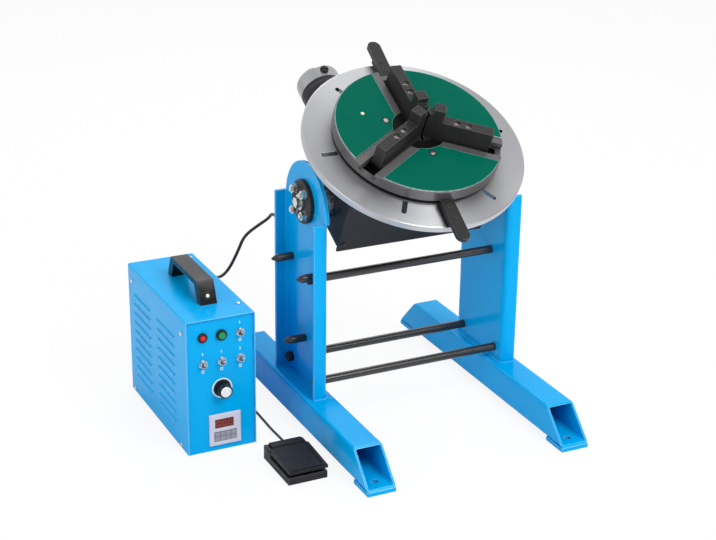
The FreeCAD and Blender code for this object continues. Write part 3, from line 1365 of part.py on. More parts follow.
def pedal_flap():
    """The foot plate, wedge shaped, with a recessed tread and a raised lip at the front."""
    x0, x1 = pedal_left + 0.5, pedal_right - 0.5
    slope = (flap_rear_z - flap_front_z) / (pedal_length - 8)
    outline = [(pedal_front, flap_front_z - 5), (pedal_front, flap_front_z),
               (pedal_rear - 8, flap_rear_z), (pedal_rear - 3, flap_rear_z - 6), (pedal_rear - 4, pin_z - 6),
               (pin_y - 10, pin_z - 5.5), (pin_y - 16, flap_front_z - 5)]
    flap = prism(outline, "x", x0, x1 - x0)
    recess = [(pedal_front + 9, flap_front_z + 9 * slope - 1.6), (pedal_rear - 22, flap_rear_z - 14 * slope - 1.6),
              (pedal_rear - 22, flap_rear_z + 3), (pedal_front + 9, flap_rear_z + 3)]
    flap = flap.cut(prism(recess, "x", x0 + 6, x1 - x0 - 12))
    lip = box(x0 + 6, x1 - 6, pedal_front + 3, pedal_front + 6, flap_front_z - 1, flap_front_z + 1.8)
    clear = [box(x, x + cheek + 1, pin_y - 14, pedal_rear + 1, 0, flap_rear_z + 1)
             for x in (pedal_left, pedal_right - cheek - 1)]
    bore = cyl_x(x0, x1, pin_radius + running_clearance, pin_y, pin_z)
    return cut_all(joined([flap, lip]), clear + [bore])


export("pedal_base", pedal_base(), pedal_pin())
export("pedal_flap", pedal_flap())


# ---- cables: straight runs joined by tangent arcs ----
motor_cable_diameter = 5.4
pedal_cable_diameter = 4.2
pedal_cable_length = 2000.0
coil_mean_radius = 23.0
coil_layers = 3                # the coil is three turns wide and three turns high
coil_place = (-318.0, 320.0)
plug_length = 31.0
plug_front = rear_panel_y + 3.0
gland_place = (-175.0, 318.0)                  # x and z on the left column's rear flange
gland_face = column_y + column_depth / 2
gland_length = 18.5

motor_route = [
    (motor_socket_place[0], plug_front + plug_length, motor_socket_place[1]),
    (-314, 284, 150), (-309, 314, 151), (-288, 334, 153), (-259, 332, 155), (-240, 309, 158), (-233, 276, 162),
    (-229, 244, 170), (-222, 218, 194), (-211, 202, 232), (-205, 189, 263), (-186, 178, 282), (-170, 163, 299),
    (-172, 142, 316.5), (gland_place[0], gland_face + gland_length, gland_place[1])]
pedal_exit = (-247.0, pedal_rear + 9.0, 7.0)
pedal_route = [
    pedal_exit, (-247, -60, 7), (-245.4, -18, 3.0), (-243.2, 38, 2.3), (-243.6, 92, 2.3), (-248, 144, 2.3),
    (-258, 194, 2.3), (-273, 238, 2.3), (-288, 278, 2.3),
    (coil_place[0] + coil_mean_radius, coil_place[1] - 6, 2.3)]
pedal_tail_route = [
    (coil_place[0] - coil_mean_radius, coil_place[1], 11.0), (-341.2, 304, 12.5), (-342.5, 284, 23),
    (-344, 270, 34), (pedal_socket_place[0], plug_front + plug_length, pedal_socket_place[1])]


def cord_tube(name, points, diameter):
    """A tube along a route; each corner's radius is set by the shorter of its two runs."""
    places = [FreeCAD.Vector(*p) for p in points]
    edges, start, radii, turns = [], places[0], [], []
    for before, corner, after in zip(places, places[1:], places[2:]):
        one, two = (before - corner), (after - corner)
        half_turn = (math.pi - one.getAngle(two)) / 2
        setback = 0.45 * min(one.Length, two.Length)
        radii.append(setback / math.tan(half_turn))
        turns.append(2 * math.degrees(half_turn))
        enter = corner + one.normalize() * setback
        leave = corner + two.normalize() * setback
        middle = (enter + leave) * 0.5
        centre = corner + (middle - corner).normalize() * (radii[-1] / math.cos(half_turn))
        top = centre + (corner - centre).normalize() * radii[-1]
        edges += [Part.LineSegment(start, enter).toShape(), Part.Arc(enter, top, leave).toShape()]
        start = leave
    edges.append(Part.LineSegment(start, places[-1]).toShape())
    path = Part.Wire(edges)
    across = places[1] - places[0]
    section = Part.Wire(Part.Circle(places[0], across, diameter / 2).toShape())
    tube = path.makePipeShell([section], True, False)
    print("%s: %.0f mm long, least radius %.1f, most turn %.0f, volume over section and length %.4f" % (
        name, path.Length, min(radii), max(turns), tube.Volume / (math.pi * diameter ** 2 / 4 * path.Length)))
    return tube, path.Length


def plug(x, z):
    """A round cable plug with a grip and a tapered strain relief, pushed into a rear socket."""
    y = plug_front
    collar = cyl_y(y - 7.5, y, socket_hole / 2 - 2.2, x, z)
    grip = cyl_y(y, y + plug_length - 10, socket_hole / 2 + 1, x, z)
    relief = Part.makeCone(5.5, 3.6, 10, FreeCAD.Vector(x, y + plug_length - 10, z), FreeCAD.Vector(0, 1, 0))
    return joined([collar, grip, relief])


def gland(x, z):
    """A cable gland on the column's rear flange."""
    y = gland_face
    nut = hexagon(16, 5, "y", y, x, z)
    dome = Part.makeCone(7, 4.2, gland_length - 5, FreeCAD.Vector(x, y + 5, z), FreeCAD.Vector(0, 1, 0))
    return joined([nut, dome])


def pedal_grommet():
    """The grommet that the pedal's cable comes out of."""
    x, y, z = pedal_exit
    return Part.makeCone(4.5, 3.2, y - pedal_rear, FreeCAD.Vector(x, pedal_rear, z), FreeCAD.Vector(0, 1, 0))


motor_tube, motor_cable_length = cord_tube("motor cable", motor_route, motor_cable_diameter)
pedal_tube, pedal_run = cord_tube("pedal cable", pedal_route, pedal_cable_diameter)
tail_tube, tail_run = cord_tube("pedal cable's end", pedal_tail_route, pedal_cable_diameter)
coil_width = coil_layers * pedal_cable_diameter
coil = ring_z(0.1, 0.1 + coil_width, coil_mean_radius + coil_width / 2, coil_mean_radius - coil_width / 2,
              *coil_place)
coil_turns = (pedal_cable_length - pedal_run - tail_run) / (2 * math.pi * coil_mean_radius)
print("coil of %.1f turns" % coil_turns)
export("motor_cable", motor_tube)
export("motor_cable_ends", plug(*motor_socket_place), gland(*gland_place))
export("pedal_cable", pedal_tube)
export("pedal_cable_coil", coil)
export("pedal_cable_tail", tail_tube)
export("pedal_cable_ends", plug(*pedal_socket_place), pedal_grommet())
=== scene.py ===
# %% [markdown]
# # A welding positioner
# The machine is a turntable on a tilting drive housing, held between two bent-channel columns. A control box
# and a foot pedal stand beside it. The measured solids are loaded first, as a fixed frame, and this file
# gives them their finish. Blender works in metres here: +X is to the right along the cross rods, -Y is the
# front and +Z is up.

import json
import math
import bmesh
import bpy
import numpy as np
from mathutils import Matrix, Vector


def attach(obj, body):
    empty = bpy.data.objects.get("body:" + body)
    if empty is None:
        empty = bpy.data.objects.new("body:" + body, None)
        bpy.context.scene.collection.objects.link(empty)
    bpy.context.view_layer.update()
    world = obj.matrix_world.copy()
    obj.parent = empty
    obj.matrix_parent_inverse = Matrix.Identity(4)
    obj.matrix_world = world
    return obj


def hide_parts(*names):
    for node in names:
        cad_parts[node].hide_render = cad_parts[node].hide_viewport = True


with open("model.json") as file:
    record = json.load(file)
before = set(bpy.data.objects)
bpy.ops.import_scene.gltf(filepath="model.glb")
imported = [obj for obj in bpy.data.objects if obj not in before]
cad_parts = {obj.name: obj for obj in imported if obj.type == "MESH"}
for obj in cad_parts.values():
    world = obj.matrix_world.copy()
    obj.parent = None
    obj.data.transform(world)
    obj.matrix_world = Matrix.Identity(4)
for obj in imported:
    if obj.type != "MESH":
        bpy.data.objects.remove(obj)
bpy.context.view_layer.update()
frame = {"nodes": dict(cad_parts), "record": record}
record = frame["record"]

# %% [markdown]
# ## The camera
# A long lens a few metres away keeps upright edges nearly parallel, which suits a machine. The camera is
# placed by its angle round the machine, its height angle and its distance from a point inside the machine:
# those are easier to judge and to change than a place and three rotations.

# %% Place the camera
view_round, view_up, view_roll = (math.radians(a) for a in (-26.12, 21.89, 0.77))
view_distance = 2.734
view_target = Vector((-0.0727, 0.0165, 0.2429))
focal_length = 83.34

back = Vector((math.sin(view_round) * math.cos(view_up), -math.cos(view_round) * math.cos(view_up),
               math.sin(view_up)))
level_right = Vector((math.cos(view_round), math.sin(view_round), 0.0))
level_up = back.cross(level_right)
right = level_right * math.cos(view_roll) + level_up * math.sin(view_roll)
up = back.cross(right)
camera_data = bpy.data.cameras.new("camera")
camera_data.lens = focal_length
camera = bpy.data.objects.new("camera", camera_data)
bpy.context.scene.collection.objects.link(camera)
turn = Matrix((right, up, back)).transposed()
camera.matrix_world = Matrix.Translation(view_target + back * view_distance) @ turn.to_4x4()
bpy.context.scene.camera = camera
print("camera at", [round(v, 3) for v in camera.matrix_world.translation])

# %% [markdown]
# ## Materials from nodes
# Every finish is made of shader nodes on Object coordinates, so that it sits still on the metal when a part
# moves and needs no image. A small helper adds a node and joins its inputs, which keeps each finish short.

# %% Helpers for shader nodes
class Nodes:
    """A node tree to which nodes are added one line at a time; a tuple (node, output) joins two nodes."""

    def __init__(self, tree):
        self.tree = tree

    def add(self, kind, settings=None, **inputs):
        """Add a node, set its options, and set or join its inputs: i0 is the first, and _ is a space."""
        node = self.tree.nodes.new(kind)
        for key, value in (settings or {}).items():
            setattr(node, key, value)
        for key, value in inputs.items():
            numbered = key[0] == "i" and key[1:].isdigit()
            self.join(node, int(key[1:]) if numbered else key.replace("_", " "), value)
        return node

    def join(self, node, socket, value):
        """Join an output to an input, or set the input's own value."""
        if isinstance(value, tuple) and len(value) == 2 and hasattr(value[0], "outputs"):
            self.tree.links.new(value[0].outputs[value[1]], node.inputs[socket])
        else:
            node.inputs[socket].default_value = value

    def math(self, operation, a, b):
        """A Math node's value."""
        return (self.add("ShaderNodeMath", {"operation": operation}, i0=a, i1=b), 0)

    def spread(self, value, low, high, to_low=0.0, to_high=1.0):
        """Map a value from one range to another, held at its ends."""
        return (self.add("ShaderNodeMapRange", {}, Value=value, From_Min=low, From_Max=high, To_Min=to_low,
                         To_Max=to_high), 0)

    def mix(self, factor, a, b):
        """Mix two colours."""
        node = self.add("ShaderNodeMix", {"data_type": "RGBA"})
        for socket, value in ((0, factor), (6, a), (7, b)):
            self.join(node, socket, value)
        return (node, 2)


class Finish(Nodes):
    """A material, with its shader and the Object coordinates that its noise lies on."""

    def __init__(self, name):
        self.material = bpy.data.materials.new(name)
        self.material.use_nodes = True
        super().__init__(self.material.node_tree)
        self.shader = self.tree.nodes["Principled BSDF"]
        self.place = self.add("ShaderNodeTexCoord")

    def set(self, **inputs):
        """Set or join the shader's own inputs."""
        for key, value in inputs.items():
            self.join(self.shader, key.replace("_", " "), value)

    def noise(self, scale, detail=3.0):
        """Cloud noise."""
        return (self.add("ShaderNodeTexNoise", {}, Vector=(self.place, "Object"), Scale=scale,
                         Detail=detail), 0)

    def bump(self, height, strength, distance=0.001):
        """Bump from a height value."""
        return (self.add("ShaderNodeBump", {}, Strength=strength, Distance=distance, Height=height), 0)

    def edge_wear_and_highlight(self, colour, edge, width, share):
        """A colour with another on its sharp edges, found where a bevelled normal leans from the true one:
        rubbed wear, and a painted highlight along the edges.

        The dot product of the two normals is 1 on a flat, and the edge colour runs from 0.995, none, to 0.9,
        all.
        """
        bevel = self.add("ShaderNodeBevel", {"samples": 4}, Radius=width)
        flat = self.add("ShaderNodeNewGeometry")
        dot = self.add("ShaderNodeVectorMath", {"operation": "DOT_PRODUCT"}, i0=(bevel, 0),
                       i1=(flat, "Normal"))
        return self.mix(self.math("MULTIPLY", self.spread((dot, 1), 0.995, 0.9), share), colour, edge)

    def done(self):
        """Say how many nodes the finish has, and hand over its material."""
        print(self.material.name, "nodes:", len(self.tree.nodes))
        return self.material


def rgb(red, green, blue):
    """A colour given as it looks on screen, from 0 to 255, turned into the linear values that nodes take."""
    values = [(c / 255) / 12.92 if c / 255 <= 0.04045 else ((c / 255 + 0.055) / 1.055) ** 2.4
              for c in (red, green, blue)]
    return (*values, 1.0)


print("middle grey in linear light:", round(rgb(128, 128, 128)[0], 3))

# %% [markdown]
# ## Cables
# One cable runs from the rear of the control box up to a gland on the left column, and the other from the
# foot pedal along the floor. Both have a black rubber jacket, dull and slightly cloudy. One flat black would
# look like a drawn line, so the jacket gets two shades and a fine grain.

# %% Cable rubber
rubber = Finish("cable_rubber")
rubber_grain = rubber.noise(900.0, 2.0)
rubber.set(Base_Color=rubber.mix(rubber.noise(35.0), rgb(22, 22, 24), rgb(38, 38, 40)),
           Roughness=rubber.spread(rubber.noise(120.0), 0.3, 0.7, 0.42, 0.58),
           Normal=rubber.bump(rubber_grain, 0.12))
rubber_jacket = rubber.done()

# %% [markdown]
# ## The motor's cable
# A cable is a curve: one NURBS spline whose control points are the places that the cable is led through. The
# curve cuts inside its control points, as a cable does round a bend, and its bevel gives it a round section
# without a mesh. This one hangs in an easy bow between the box and the gland. Its places are written in
# millimetres, as on a drawing.

# %% Lead the motor's cable
def cable(name, points, diameter, nodes, **facts):
    """A cable along control points: one open NURBS spline with a round section."""
    curve = bpy.data.curves.new(name, "CURVE")
    curve.dimensions = "3D"
    curve.bevel_depth = diameter / 2
    curve.bevel_resolution = 4
    curve.resolution_u = 6
    curve.use_fill_caps = True
    spline = curve.splines.new("NURBS")
    spline.points.add(len(points) - 1)
    places = np.ones((len(points), 4))
    places[:, :3] = points
    spline.points.foreach_set("co", places.ravel())
    spline.order_u = 3
    spline.use_endpoint_u = True
    curve.materials.append(rubber_jacket)
    obj = bpy.data.objects.new(name, curve)
    bpy.context.scene.collection.objects.link(obj)
    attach(obj, "root")
    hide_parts(*nodes)
    print(name, "control points:", len(points))


motor_route = np.array([
    (-314, 256, 150), (-314, 284, 150), (-309, 314, 151), (-288, 334, 153), (-259, 332, 155), (-240, 309, 158),
    (-233, 276, 162), (-229, 244, 170), (-222, 218, 194), (-211, 202, 232), (-205, 189, 263), (-186, 178, 282),
    (-170, 163, 299), (-172, 142, 316.5), (-175, 114, 318)]) / 1000
cable("motor_lead", motor_route, 0.0054, ["motor_cable"], length=0.43, far_end="object",
      stiffness="medium", lay="hanging", with_pieces=[frame["nodes"]["motor_cable_ends"]])

# %% [markdown]
# ## The pedal's cable and its coil
# The pedal's cable lies on the floor, and its spare length is wound into a coil behind the box. The turns of
# a real coil lie beside and on each other, one cable's width apart. Each turn here follows a circle, and
# eases into the next one's place in its last third. The coil is more control points of the same curve, so
# the cable stays one piece from end to end.

# %% Wind the pedal's cable
lead_width = 0.0042
coil_centre = Vector((-0.318, 0.320, 0.0))
coil_radius = 0.023
lowest_turn = 0.56
steps_a_turn = 14
turn_slots = [(0, 0), (1, 0), (2, 0), (2.5, 0.87), (1.5, 0.87), (0.5, 0.87), (-0.5, 0.87),
              (0, 1.74), (1, 1.74), (2, 1.74)]


def coil_points():
    """Turns of the coil: the angle grows evenly, and radius and height ease from one slot to the next.

    A slot is (turns in from the outside, turns up), in cable widths: three layers of three, four and three.
    The curve cuts inside its control points by cos(pi / steps), so they lie that much further out.
    """
    turn_count = len(turn_slots) + 0.5
    turn = np.arange(0, turn_count, 1 / steps_a_turn)
    slots = np.array(turn_slots + [turn_slots[-1]])
    index = np.minimum(turn.astype(int), len(turn_slots) - 1)
    part = np.clip((turn - index) * 3 - 2, 0, 1)[:, None]
    across, height = (slots[index] * (1 - part) + slots[np.minimum(index + 1, len(slots) - 1)] * part).T
    radius = (coil_radius + (1 - across) * lead_width) / math.cos(math.pi / steps_a_turn)
    angle = turn * 2 * math.pi
    return np.column_stack([coil_centre.x + radius * np.cos(angle), coil_centre.y + radius * np.sin(angle),
                            lead_width * (lowest_turn + height)])


pedal_route = np.array([
    (-247, -92.5, 7), (-247, -60, 7), (-245.4, -18, 3), (-243.2, 38, 2.3), (-243.6, 92, 2.3), (-248, 144, 2.3),
    (-258, 194, 2.3), (-273, 238, 2.3), (-288, 278, 2.3)]) / 1000
tail_route = np.array([(-341.2, 304, 12.5), (-342.5, 284, 23), (-344, 270, 34), (-344, 256, 35)]) / 1000
cable("pedal_lead", np.vstack([pedal_route, coil_points(), tail_route]), lead_width,
      ["pedal_cable", "pedal_cable_coil", "pedal_cable_tail"], length=2.0, far_end="object",
      stiffness="medium", lay="coiled", with_pieces=[frame["nodes"]["pedal_cable_ends"]])

# %% [markdown]
# ## Paint
# The stand and the box are sprayed in a glossy sky blue, and the housing in satin black. Sprayed paint has a
# faint orange peel and a little dust in its roughness, and its sharp edges get a lighter colour, a painted
# highlight. Each of these is one noise or one edge test, because a single colour would look like plastic.

# %% Paints
def sprayed(name, dark, light, rough, peel, edge, gloss):
    """Sprayed paint: two shades in slow clouds, orange-peel bump, and a painted highlight on the edges."""
    paint = Finish(name)
    colour = paint.mix(paint.noise(5.0, 4.0), dark, light)
    # painted highlight: a lighter colour on the sharp edges
    colour = paint.edge_wear_and_highlight(colour, edge, width=0.0015, share=0.75)
    paint.set(Base_Color=colour, Roughness=paint.spread(paint.noise(40.0, 5.0), 0.35, 0.7, *rough),
              Normal=paint.bump(paint.noise(420.0, 2.0), peel, 0.0006), Specular_IOR_Level=gloss)
    return paint.done()


# the third colour of each paint is its painted edge highlight
blue = sprayed("sky_blue_gloss", rgb(0, 157, 221), rgb(0, 165, 229), (0.12, 0.24), 0.03,
               rgb(150, 218, 254), 0.1)
black_satin = sprayed("black_satin", rgb(38, 37, 40), rgb(46, 45, 49), (0.36, 0.5), 0.08,
                      rgb(100, 98, 100), 0.16)

# %% [markdown]
# ## Turned steel
# The table and the chuck are turned in a lathe, which leaves fine rings about the spindle. Their highlight
# stretches across the rings. The rings are noise along the distance from the spindle alone, and the stretch
# is the shader's anisotropy, with a tangent that runs round the spindle. Within the bore's radius the chuck's
# face is painted near black, a painted shade that makes it look like a deep bore.

# %% Turned steels
tilt_origin = (0.0, 0.0165, 0.377)
tilt_angle = math.radians(28.5)
spindle_up = (0.0, -math.sin(tilt_angle), math.cos(tilt_angle))
chuck_bore = 0.043


def turned_steel(name, dark, light, rough, lines, anisotropy, metallic=1.0, bore_shade_within=0.0):
    """Steel turned in a lathe: rings = noise(lines * distance from the spindle), with slow clouds added.

    tangent = spindle x (point - spindle's origin), so the highlight stretches across the rings
    """
    steel = Finish(name)
    local = steel.add("ShaderNodeMapping", {"vector_type": "TEXTURE"}, Vector=(steel.place, "Object"),
                      Location=tilt_origin, Rotation=(tilt_angle, 0.0, 0.0))
    flat = steel.add("ShaderNodeVectorMath", {"operation": "MULTIPLY"}, i0=(local, 0), i1=(1.0, 1.0, 0.0))
    radius = (steel.add("ShaderNodeVectorMath", {"operation": "LENGTH"}, i0=(flat, 0)), 1)
    rings = (steel.add("ShaderNodeTexNoise", {"noise_dimensions": "1D"}, Scale=1.0, Detail=4.0,
                       W=steel.math("MULTIPLY", radius, lines)), 0)
    cloud = steel.noise(9.0, 4.0)
    shade = steel.math("ADD", steel.math("MULTIPLY", rings, 0.6), steel.math("MULTIPLY", cloud, 0.4))
    colour = steel.mix(shade, dark, light)
    # painted shade: near black within the bore's radius, standing for a deep bore in shadow
    if bore_shade_within:
        colour = steel.mix(steel.spread(radius, bore_shade_within + 0.0003, bore_shade_within), colour, rgb(12, 12, 12))
    centre = steel.add("ShaderNodeVectorMath", {"operation": "SUBTRACT"}, i0=(steel.place, "Object"),
                       i1=tilt_origin)
    around = steel.add("ShaderNodeVectorMath", {"operation": "CROSS_PRODUCT"}, i0=spindle_up, i1=(centre, 0))
    tangent = steel.add("ShaderNodeVectorMath", {"operation": "NORMALIZE"}, i0=(around, 0))
    steel.set(Base_Color=colour, Metallic=metallic, Tangent=(tangent, 0), Anisotropic=anisotropy,
              Anisotropic_Rotation=0.25, Normal=steel.bump(rings, 0.10, 0.0004),
              Roughness=steel.spread(steel.math("ADD", rings, cloud), 0.7, 1.3, *rough))
    return steel.done()


table_steel = turned_steel("turned_table_steel", rgb(176, 177, 181), rgb(216, 217, 220), (0.32, 0.46), 1500.0,
                           0.8)
chuck_steel = turned_steel("turned_chuck_steel", rgb(92, 90, 92), rgb(122, 120, 122), (0.3, 0.45), 1800.0, 0.4,
                           0.6, chuck_bore)
# the scroll ring's near-black colour is its oxide and a painted shade of the gap under the chuck's body
scroll_steel = turned_steel("scroll_steel_oxide_and_shade", rgb(26, 26, 28), rgb(40, 40, 43), (0.35, 0.5), 1500.0,
                            0.3)

# %% [markdown]
# ## Ground, plated and oxidised metal
# Screws are zinc plated, pins are ground, the jaws are oxidised black and oiled, and the motor's cap is cast
# alloy. They share one finish with other numbers: a fine grain in colour, roughness and bump, and brighter
# edges, both where hands and spanners have rubbed and as a painted highlight. A black oxide is a thin skin, so
# it is only partly metallic.

# %% Plain metals
def plain_metal(name, dark, light, rough, grain=0.06, edge=None, metallic=1.0):
    """Bare or oxidised metal: fine grain in colour, roughness and bump, brighter on edges for wear and a
    painted highlight.
    """
    metal = Finish(name)
    fine, cloud = metal.noise(160.0, 4.0), metal.noise(14.0, 4.0)
    shade = metal.math("ADD", metal.math("MULTIPLY", fine, 0.5), metal.math("MULTIPLY", cloud, 0.5))
    colour = metal.mix(shade, dark, light)
    # brighter edges: rubbed wear and a painted highlight
    if edge:
        colour = metal.edge_wear_and_highlight(colour, edge, width=0.0007, share=0.7)
    metal.set(Base_Color=colour, Metallic=metallic, Roughness=metal.spread(fine, 0.3, 0.7, *rough),
              Normal=metal.bump(fine, grain, 0.0004))
    return metal.done()


bright_steel = plain_metal("ground_steel", rgb(186, 187, 190), rgb(224, 225, 228), (0.22, 0.36))
zinc = plain_metal("zinc_plate", rgb(186, 186, 180), rgb(230, 229, 222), (0.2, 0.36), edge=rgb(248, 248, 244))
black_oxide = plain_metal("black_oxide", rgb(30, 29, 30), rgb(40, 38, 39), (0.34, 0.5), 0.12,
                          rgb(130, 128, 128), 0.3)
jaw_steel = plain_metal("oiled_jaw_steel", rgb(38, 37, 37), rgb(50, 48, 48), (0.3, 0.46), 0.12,
                        rgb(150, 146, 146), 0.3)
satin_silver = plain_metal("satin_silver", rgb(222, 222, 225), rgb(238, 238, 241), (0.3, 0.45), metallic=0.4)
alloy = plain_metal("motor_alloy", rgb(160, 161, 164), rgb(190, 191, 194), (0.3, 0.44), 0.08)
bronze = plain_metal("bearing_bronze", rgb(150, 108, 52), rgb(196, 150, 84), (0.25, 0.4))

# %% [markdown]
# ## Plastics and printing
# The knob, the button, the meter and the sockets are moulded, and the marks are printed in white. A mould is
# spark-eroded, which leaves a fine grain, so plastic gets a small bump and a roughness that varies a little.
# The rods have the same kind of black coat, and the chuck's plates are painted green.

# %% Plastics
def moulded(name, dark, light, rough, grain=0.1, scale=700.0, gloss=0.3):
    """Moulded plastic with a fine spark-eroded grain."""
    plastic = Finish(name)
    plastic.set(Base_Color=plastic.mix(plastic.noise(18.0, 3.0), dark, light),
                Roughness=plastic.spread(plastic.noise(60.0, 4.0), 0.3, 0.7, *rough),
                Normal=plastic.bump(plastic.noise(scale, 2.0), grain, 0.0004), Specular_IOR_Level=gloss)
    return plastic.done()


black_plastic = moulded("black_plastic", rgb(24, 24, 26), rgb(32, 32, 34), (0.4, 0.55), gloss=0.2)
meter_plastic = moulded("meter_case", rgb(186, 188, 204), rgb(200, 202, 216), (0.35, 0.5))
display_red = moulded("meter_window", rgb(96, 40, 38), rgb(108, 48, 46), (0.2, 0.3), 0.01)
keypad_grey = moulded("keypad", rgb(112, 112, 126), rgb(128, 128, 140), (0.45, 0.6))
key_grey = moulded("keys", rgb(140, 140, 152), rgb(152, 152, 164), (0.4, 0.55))
pale_dial = moulded("dial_plate", rgb(214, 226, 238), rgb(228, 238, 246), (0.3, 0.4), 0.03)
white_print = moulded("white_print", rgb(236, 244, 250), rgb(246, 250, 253), (0.4, 0.5), 0.02)
gloss_black = moulded("gloss_black", rgb(16, 15, 16), rgb(26, 25, 26), (0.14, 0.24), 0.03)
red_lens = moulded("red_lens", rgb(190, 20, 22), rgb(215, 34, 32), (0.1, 0.2), 0.02)
green_cap = moulded("green_cap", rgb(0, 130, 74), rgb(8, 150, 88), (0.25, 0.4), 0.03)
rod_black = moulded("rod_black", rgb(30, 29, 30), rgb(40, 38, 39), (0.26, 0.34), 0.06, 500.0, 0.7)
# the green's pale mint edge colour is a painted highlight
face_green = sprayed("chuck_face_green", rgb(0, 87, 70), rgb(0, 95, 77), (0.26, 0.4), 0.03,
                     rgb(150, 215, 195), 0.03)

# %% [markdown]
# ## Dressing the measured solids
# The loaded solids are bags of loose triangles, so a round shaft looks faceted. A copy of each is joined up,
# its flat faces are merged, and its gentle edges are shaded smooth while its sharp ones stay crisp. A small
# bevel then catches the light as a real machined edge does.

# %% Join and bevel a copy of a node
body_of = {node: body for body, nodes in record["behaviour"]["bodies"].items() for node in nodes}


def dressed(node, material, bevel, seam=2e-6, flat=0.6, crease=30.0, sharp=40.0):
    """A joined-up, smooth-shaded copy of a node, with a fine bevel on its sharp edges; angles in degrees."""
    mesh = frame["nodes"][node].data.copy()
    work = bmesh.new()
    work.from_mesh(mesh)
    bmesh.ops.remove_doubles(work, verts=work.verts, dist=seam)
    bmesh.ops.dissolve_limit(work, angle_limit=math.radians(flat), verts=work.verts, edges=work.edges)
    for face in work.faces:
        face.smooth = True
    for edge in work.edges:
        edge.smooth = len(edge.link_faces) == 2 and edge.calc_face_angle(3.0) < math.radians(crease)
    work.to_mesh(mesh)
    work.free()
    mesh.materials.clear()
    mesh.materials.append(material)
    obj = bpy.data.objects.new("look_" + node, mesh)
    bpy.context.scene.collection.objects.link(obj)
    if bevel:
        soften = obj.modifiers.new("bevel", "BEVEL")
        soften.width, soften.segments, soften.limit_method = bevel, 2, "ANGLE"
        soften.angle_limit = math.radians(sharp)
        soften.harden_normals = True
    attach(obj, body_of[node])
    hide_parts(node)
    return obj


# %% [markdown]
# ## A finish for each piece
# Every piece gets a finish and the width of its bevel in metres. Sheet steel has a small one, a cast or
# forged piece a wide one, and a piece that is rounded already has none.

# %% Dress the nodes
dress = {
    "skids": (blue, 0.0010), "foot_pads": (blue, 0.0008), "left_column": (blue, 0.0004),
    "right_column": (blue, 0.0004), "bearing_plates": (blue, 0.0006), "cross_rods": (rod_black, 0.0004),
    "rod_bolts": (black_oxide, 0.0003), "hanging_pegs": (rod_black, 0.0003),
    "bearing_flanges": (black_satin, 0.0005), "flange_bolts": (zinc, 0.0003),
    "trunnions": (bright_steel, 0.0003), "clamp_bolts": (zinc, 0.0004), "gear_housing": (black_satin, 0.0006),
    "housing_cover": (black_satin, 0.0006), "housing_screws": (black_oxide, 0.0002),
    "gearhead": (black_satin, 0.0005), "motor_can": (black_satin, 0.0004), "motor_bell": (alloy, 0.0003),
    "brush_caps": (black_plastic, 0.0004), "spindle": (bright_steel, 0.0004),
    "table_disc": (table_steel, 0.0004), "chuck_backplate": (chuck_steel, 0.0003),
    "chuck_body": (chuck_steel, 0.0002), "table_bolts": (zinc, 0.0003), "scroll_ring": (scroll_steel, 0.0003),
    "lever_handles": (black_oxide, 0.0006), "box_chassis": (blue, 0.0003), "box_cover": (blue, 0.0003),
    "carry_handle": (gloss_black, 0.0), "case_screws": (zinc, 0.0002),
    "panel_fittings": (bright_steel, 0.0002), "push_button": (green_cap, 0.0),
    "speed_knob": (gloss_black, 0.0003), "meter_frame": (meter_plastic, 0.0009),
    "meter_face": (meter_plastic, 0.0), "rear_sockets": (black_plastic, 0.0003),
    "pedal_base": (black_satin, 0.0006), "pedal_flap": (black_plastic, 0.0006),
}
for number in (1, 2, 3):
    dress["base_jaw_%d" % number] = (black_oxide, 0.0002)
    dress["top_jaw_%d" % number] = (jaw_steel, 0.0008)
for number in (1, 2, 3, 4):
    dress["toggle_lever_%d" % number] = (bright_steel, 0.0)
looks = {node: dressed(node, *finish) for node, finish in dress.items()}
print("dressed:", len(looks))

# %% [markdown]
# ## Solids that hardly show
# The worm drive, the bushes and the parts in the box are hidden by their housings, and the cable ends are
# small. They keep their loaded meshes, and only their material is set.

# %% Finish the inner solids
inner_finish = {"bronze_bushes": bronze, "worm_wheel": bronze, "worm_shaft": bright_steel,
                "box_electrics": bright_steel, "motor_cable_ends": black_plastic,
                "pedal_cable_ends": black_plastic}
for node, material in inner_finish.items():
    mesh = frame["nodes"][node].data
    mesh.materials.clear()
    mesh.materials.append(material)
print("inner solids:", len(inner_finish))

# %% [markdown]
# ## Places on the tilted table
# The table lies at a slope, so its pieces are placed by three numbers of its own: two across it and the
# height over its top. One function reads a point's numbers and another turns numbers into a point.

# %% Measure from the spindle
table_top = 0.103


def on_spindle(points):
    """Turn places in metres into (x, y, height) about the spindle, with the table's top at height 0."""
    x, y, z = points[:, 0], points[:, 1] - tilt_origin[1], points[:, 2] - tilt_origin[2]
    across = y * math.cos(tilt_angle) + z * math.sin(tilt_angle)
    return x, across, z * math.cos(tilt_angle) - y * math.sin(tilt_angle) - table_top


def tilted_place(x, across, height):
    """A place given about the spindle, with the table's top at height 0, as it lies at rest."""
    up = height + table_top
    return (x, tilt_origin[1] + across * math.cos(tilt_angle) - up * math.sin(tilt_angle),
            tilt_origin[2] + across * math.sin(tilt_angle) + up * math.cos(tilt_angle))


print("middle of the table's top:", [round(v, 4) for v in tilted_place(0.0, 0.0, 0.0)])

# %% [markdown]
# ## One solid, more than one finish
# Some measured pieces hold small parts of different stuff: bright cap screws lie in the black jaws, and the
# walls of the table's slots are darker than its turned top. They could be cut apart, but it is enough to
# give each face its finish from where its middle lies.

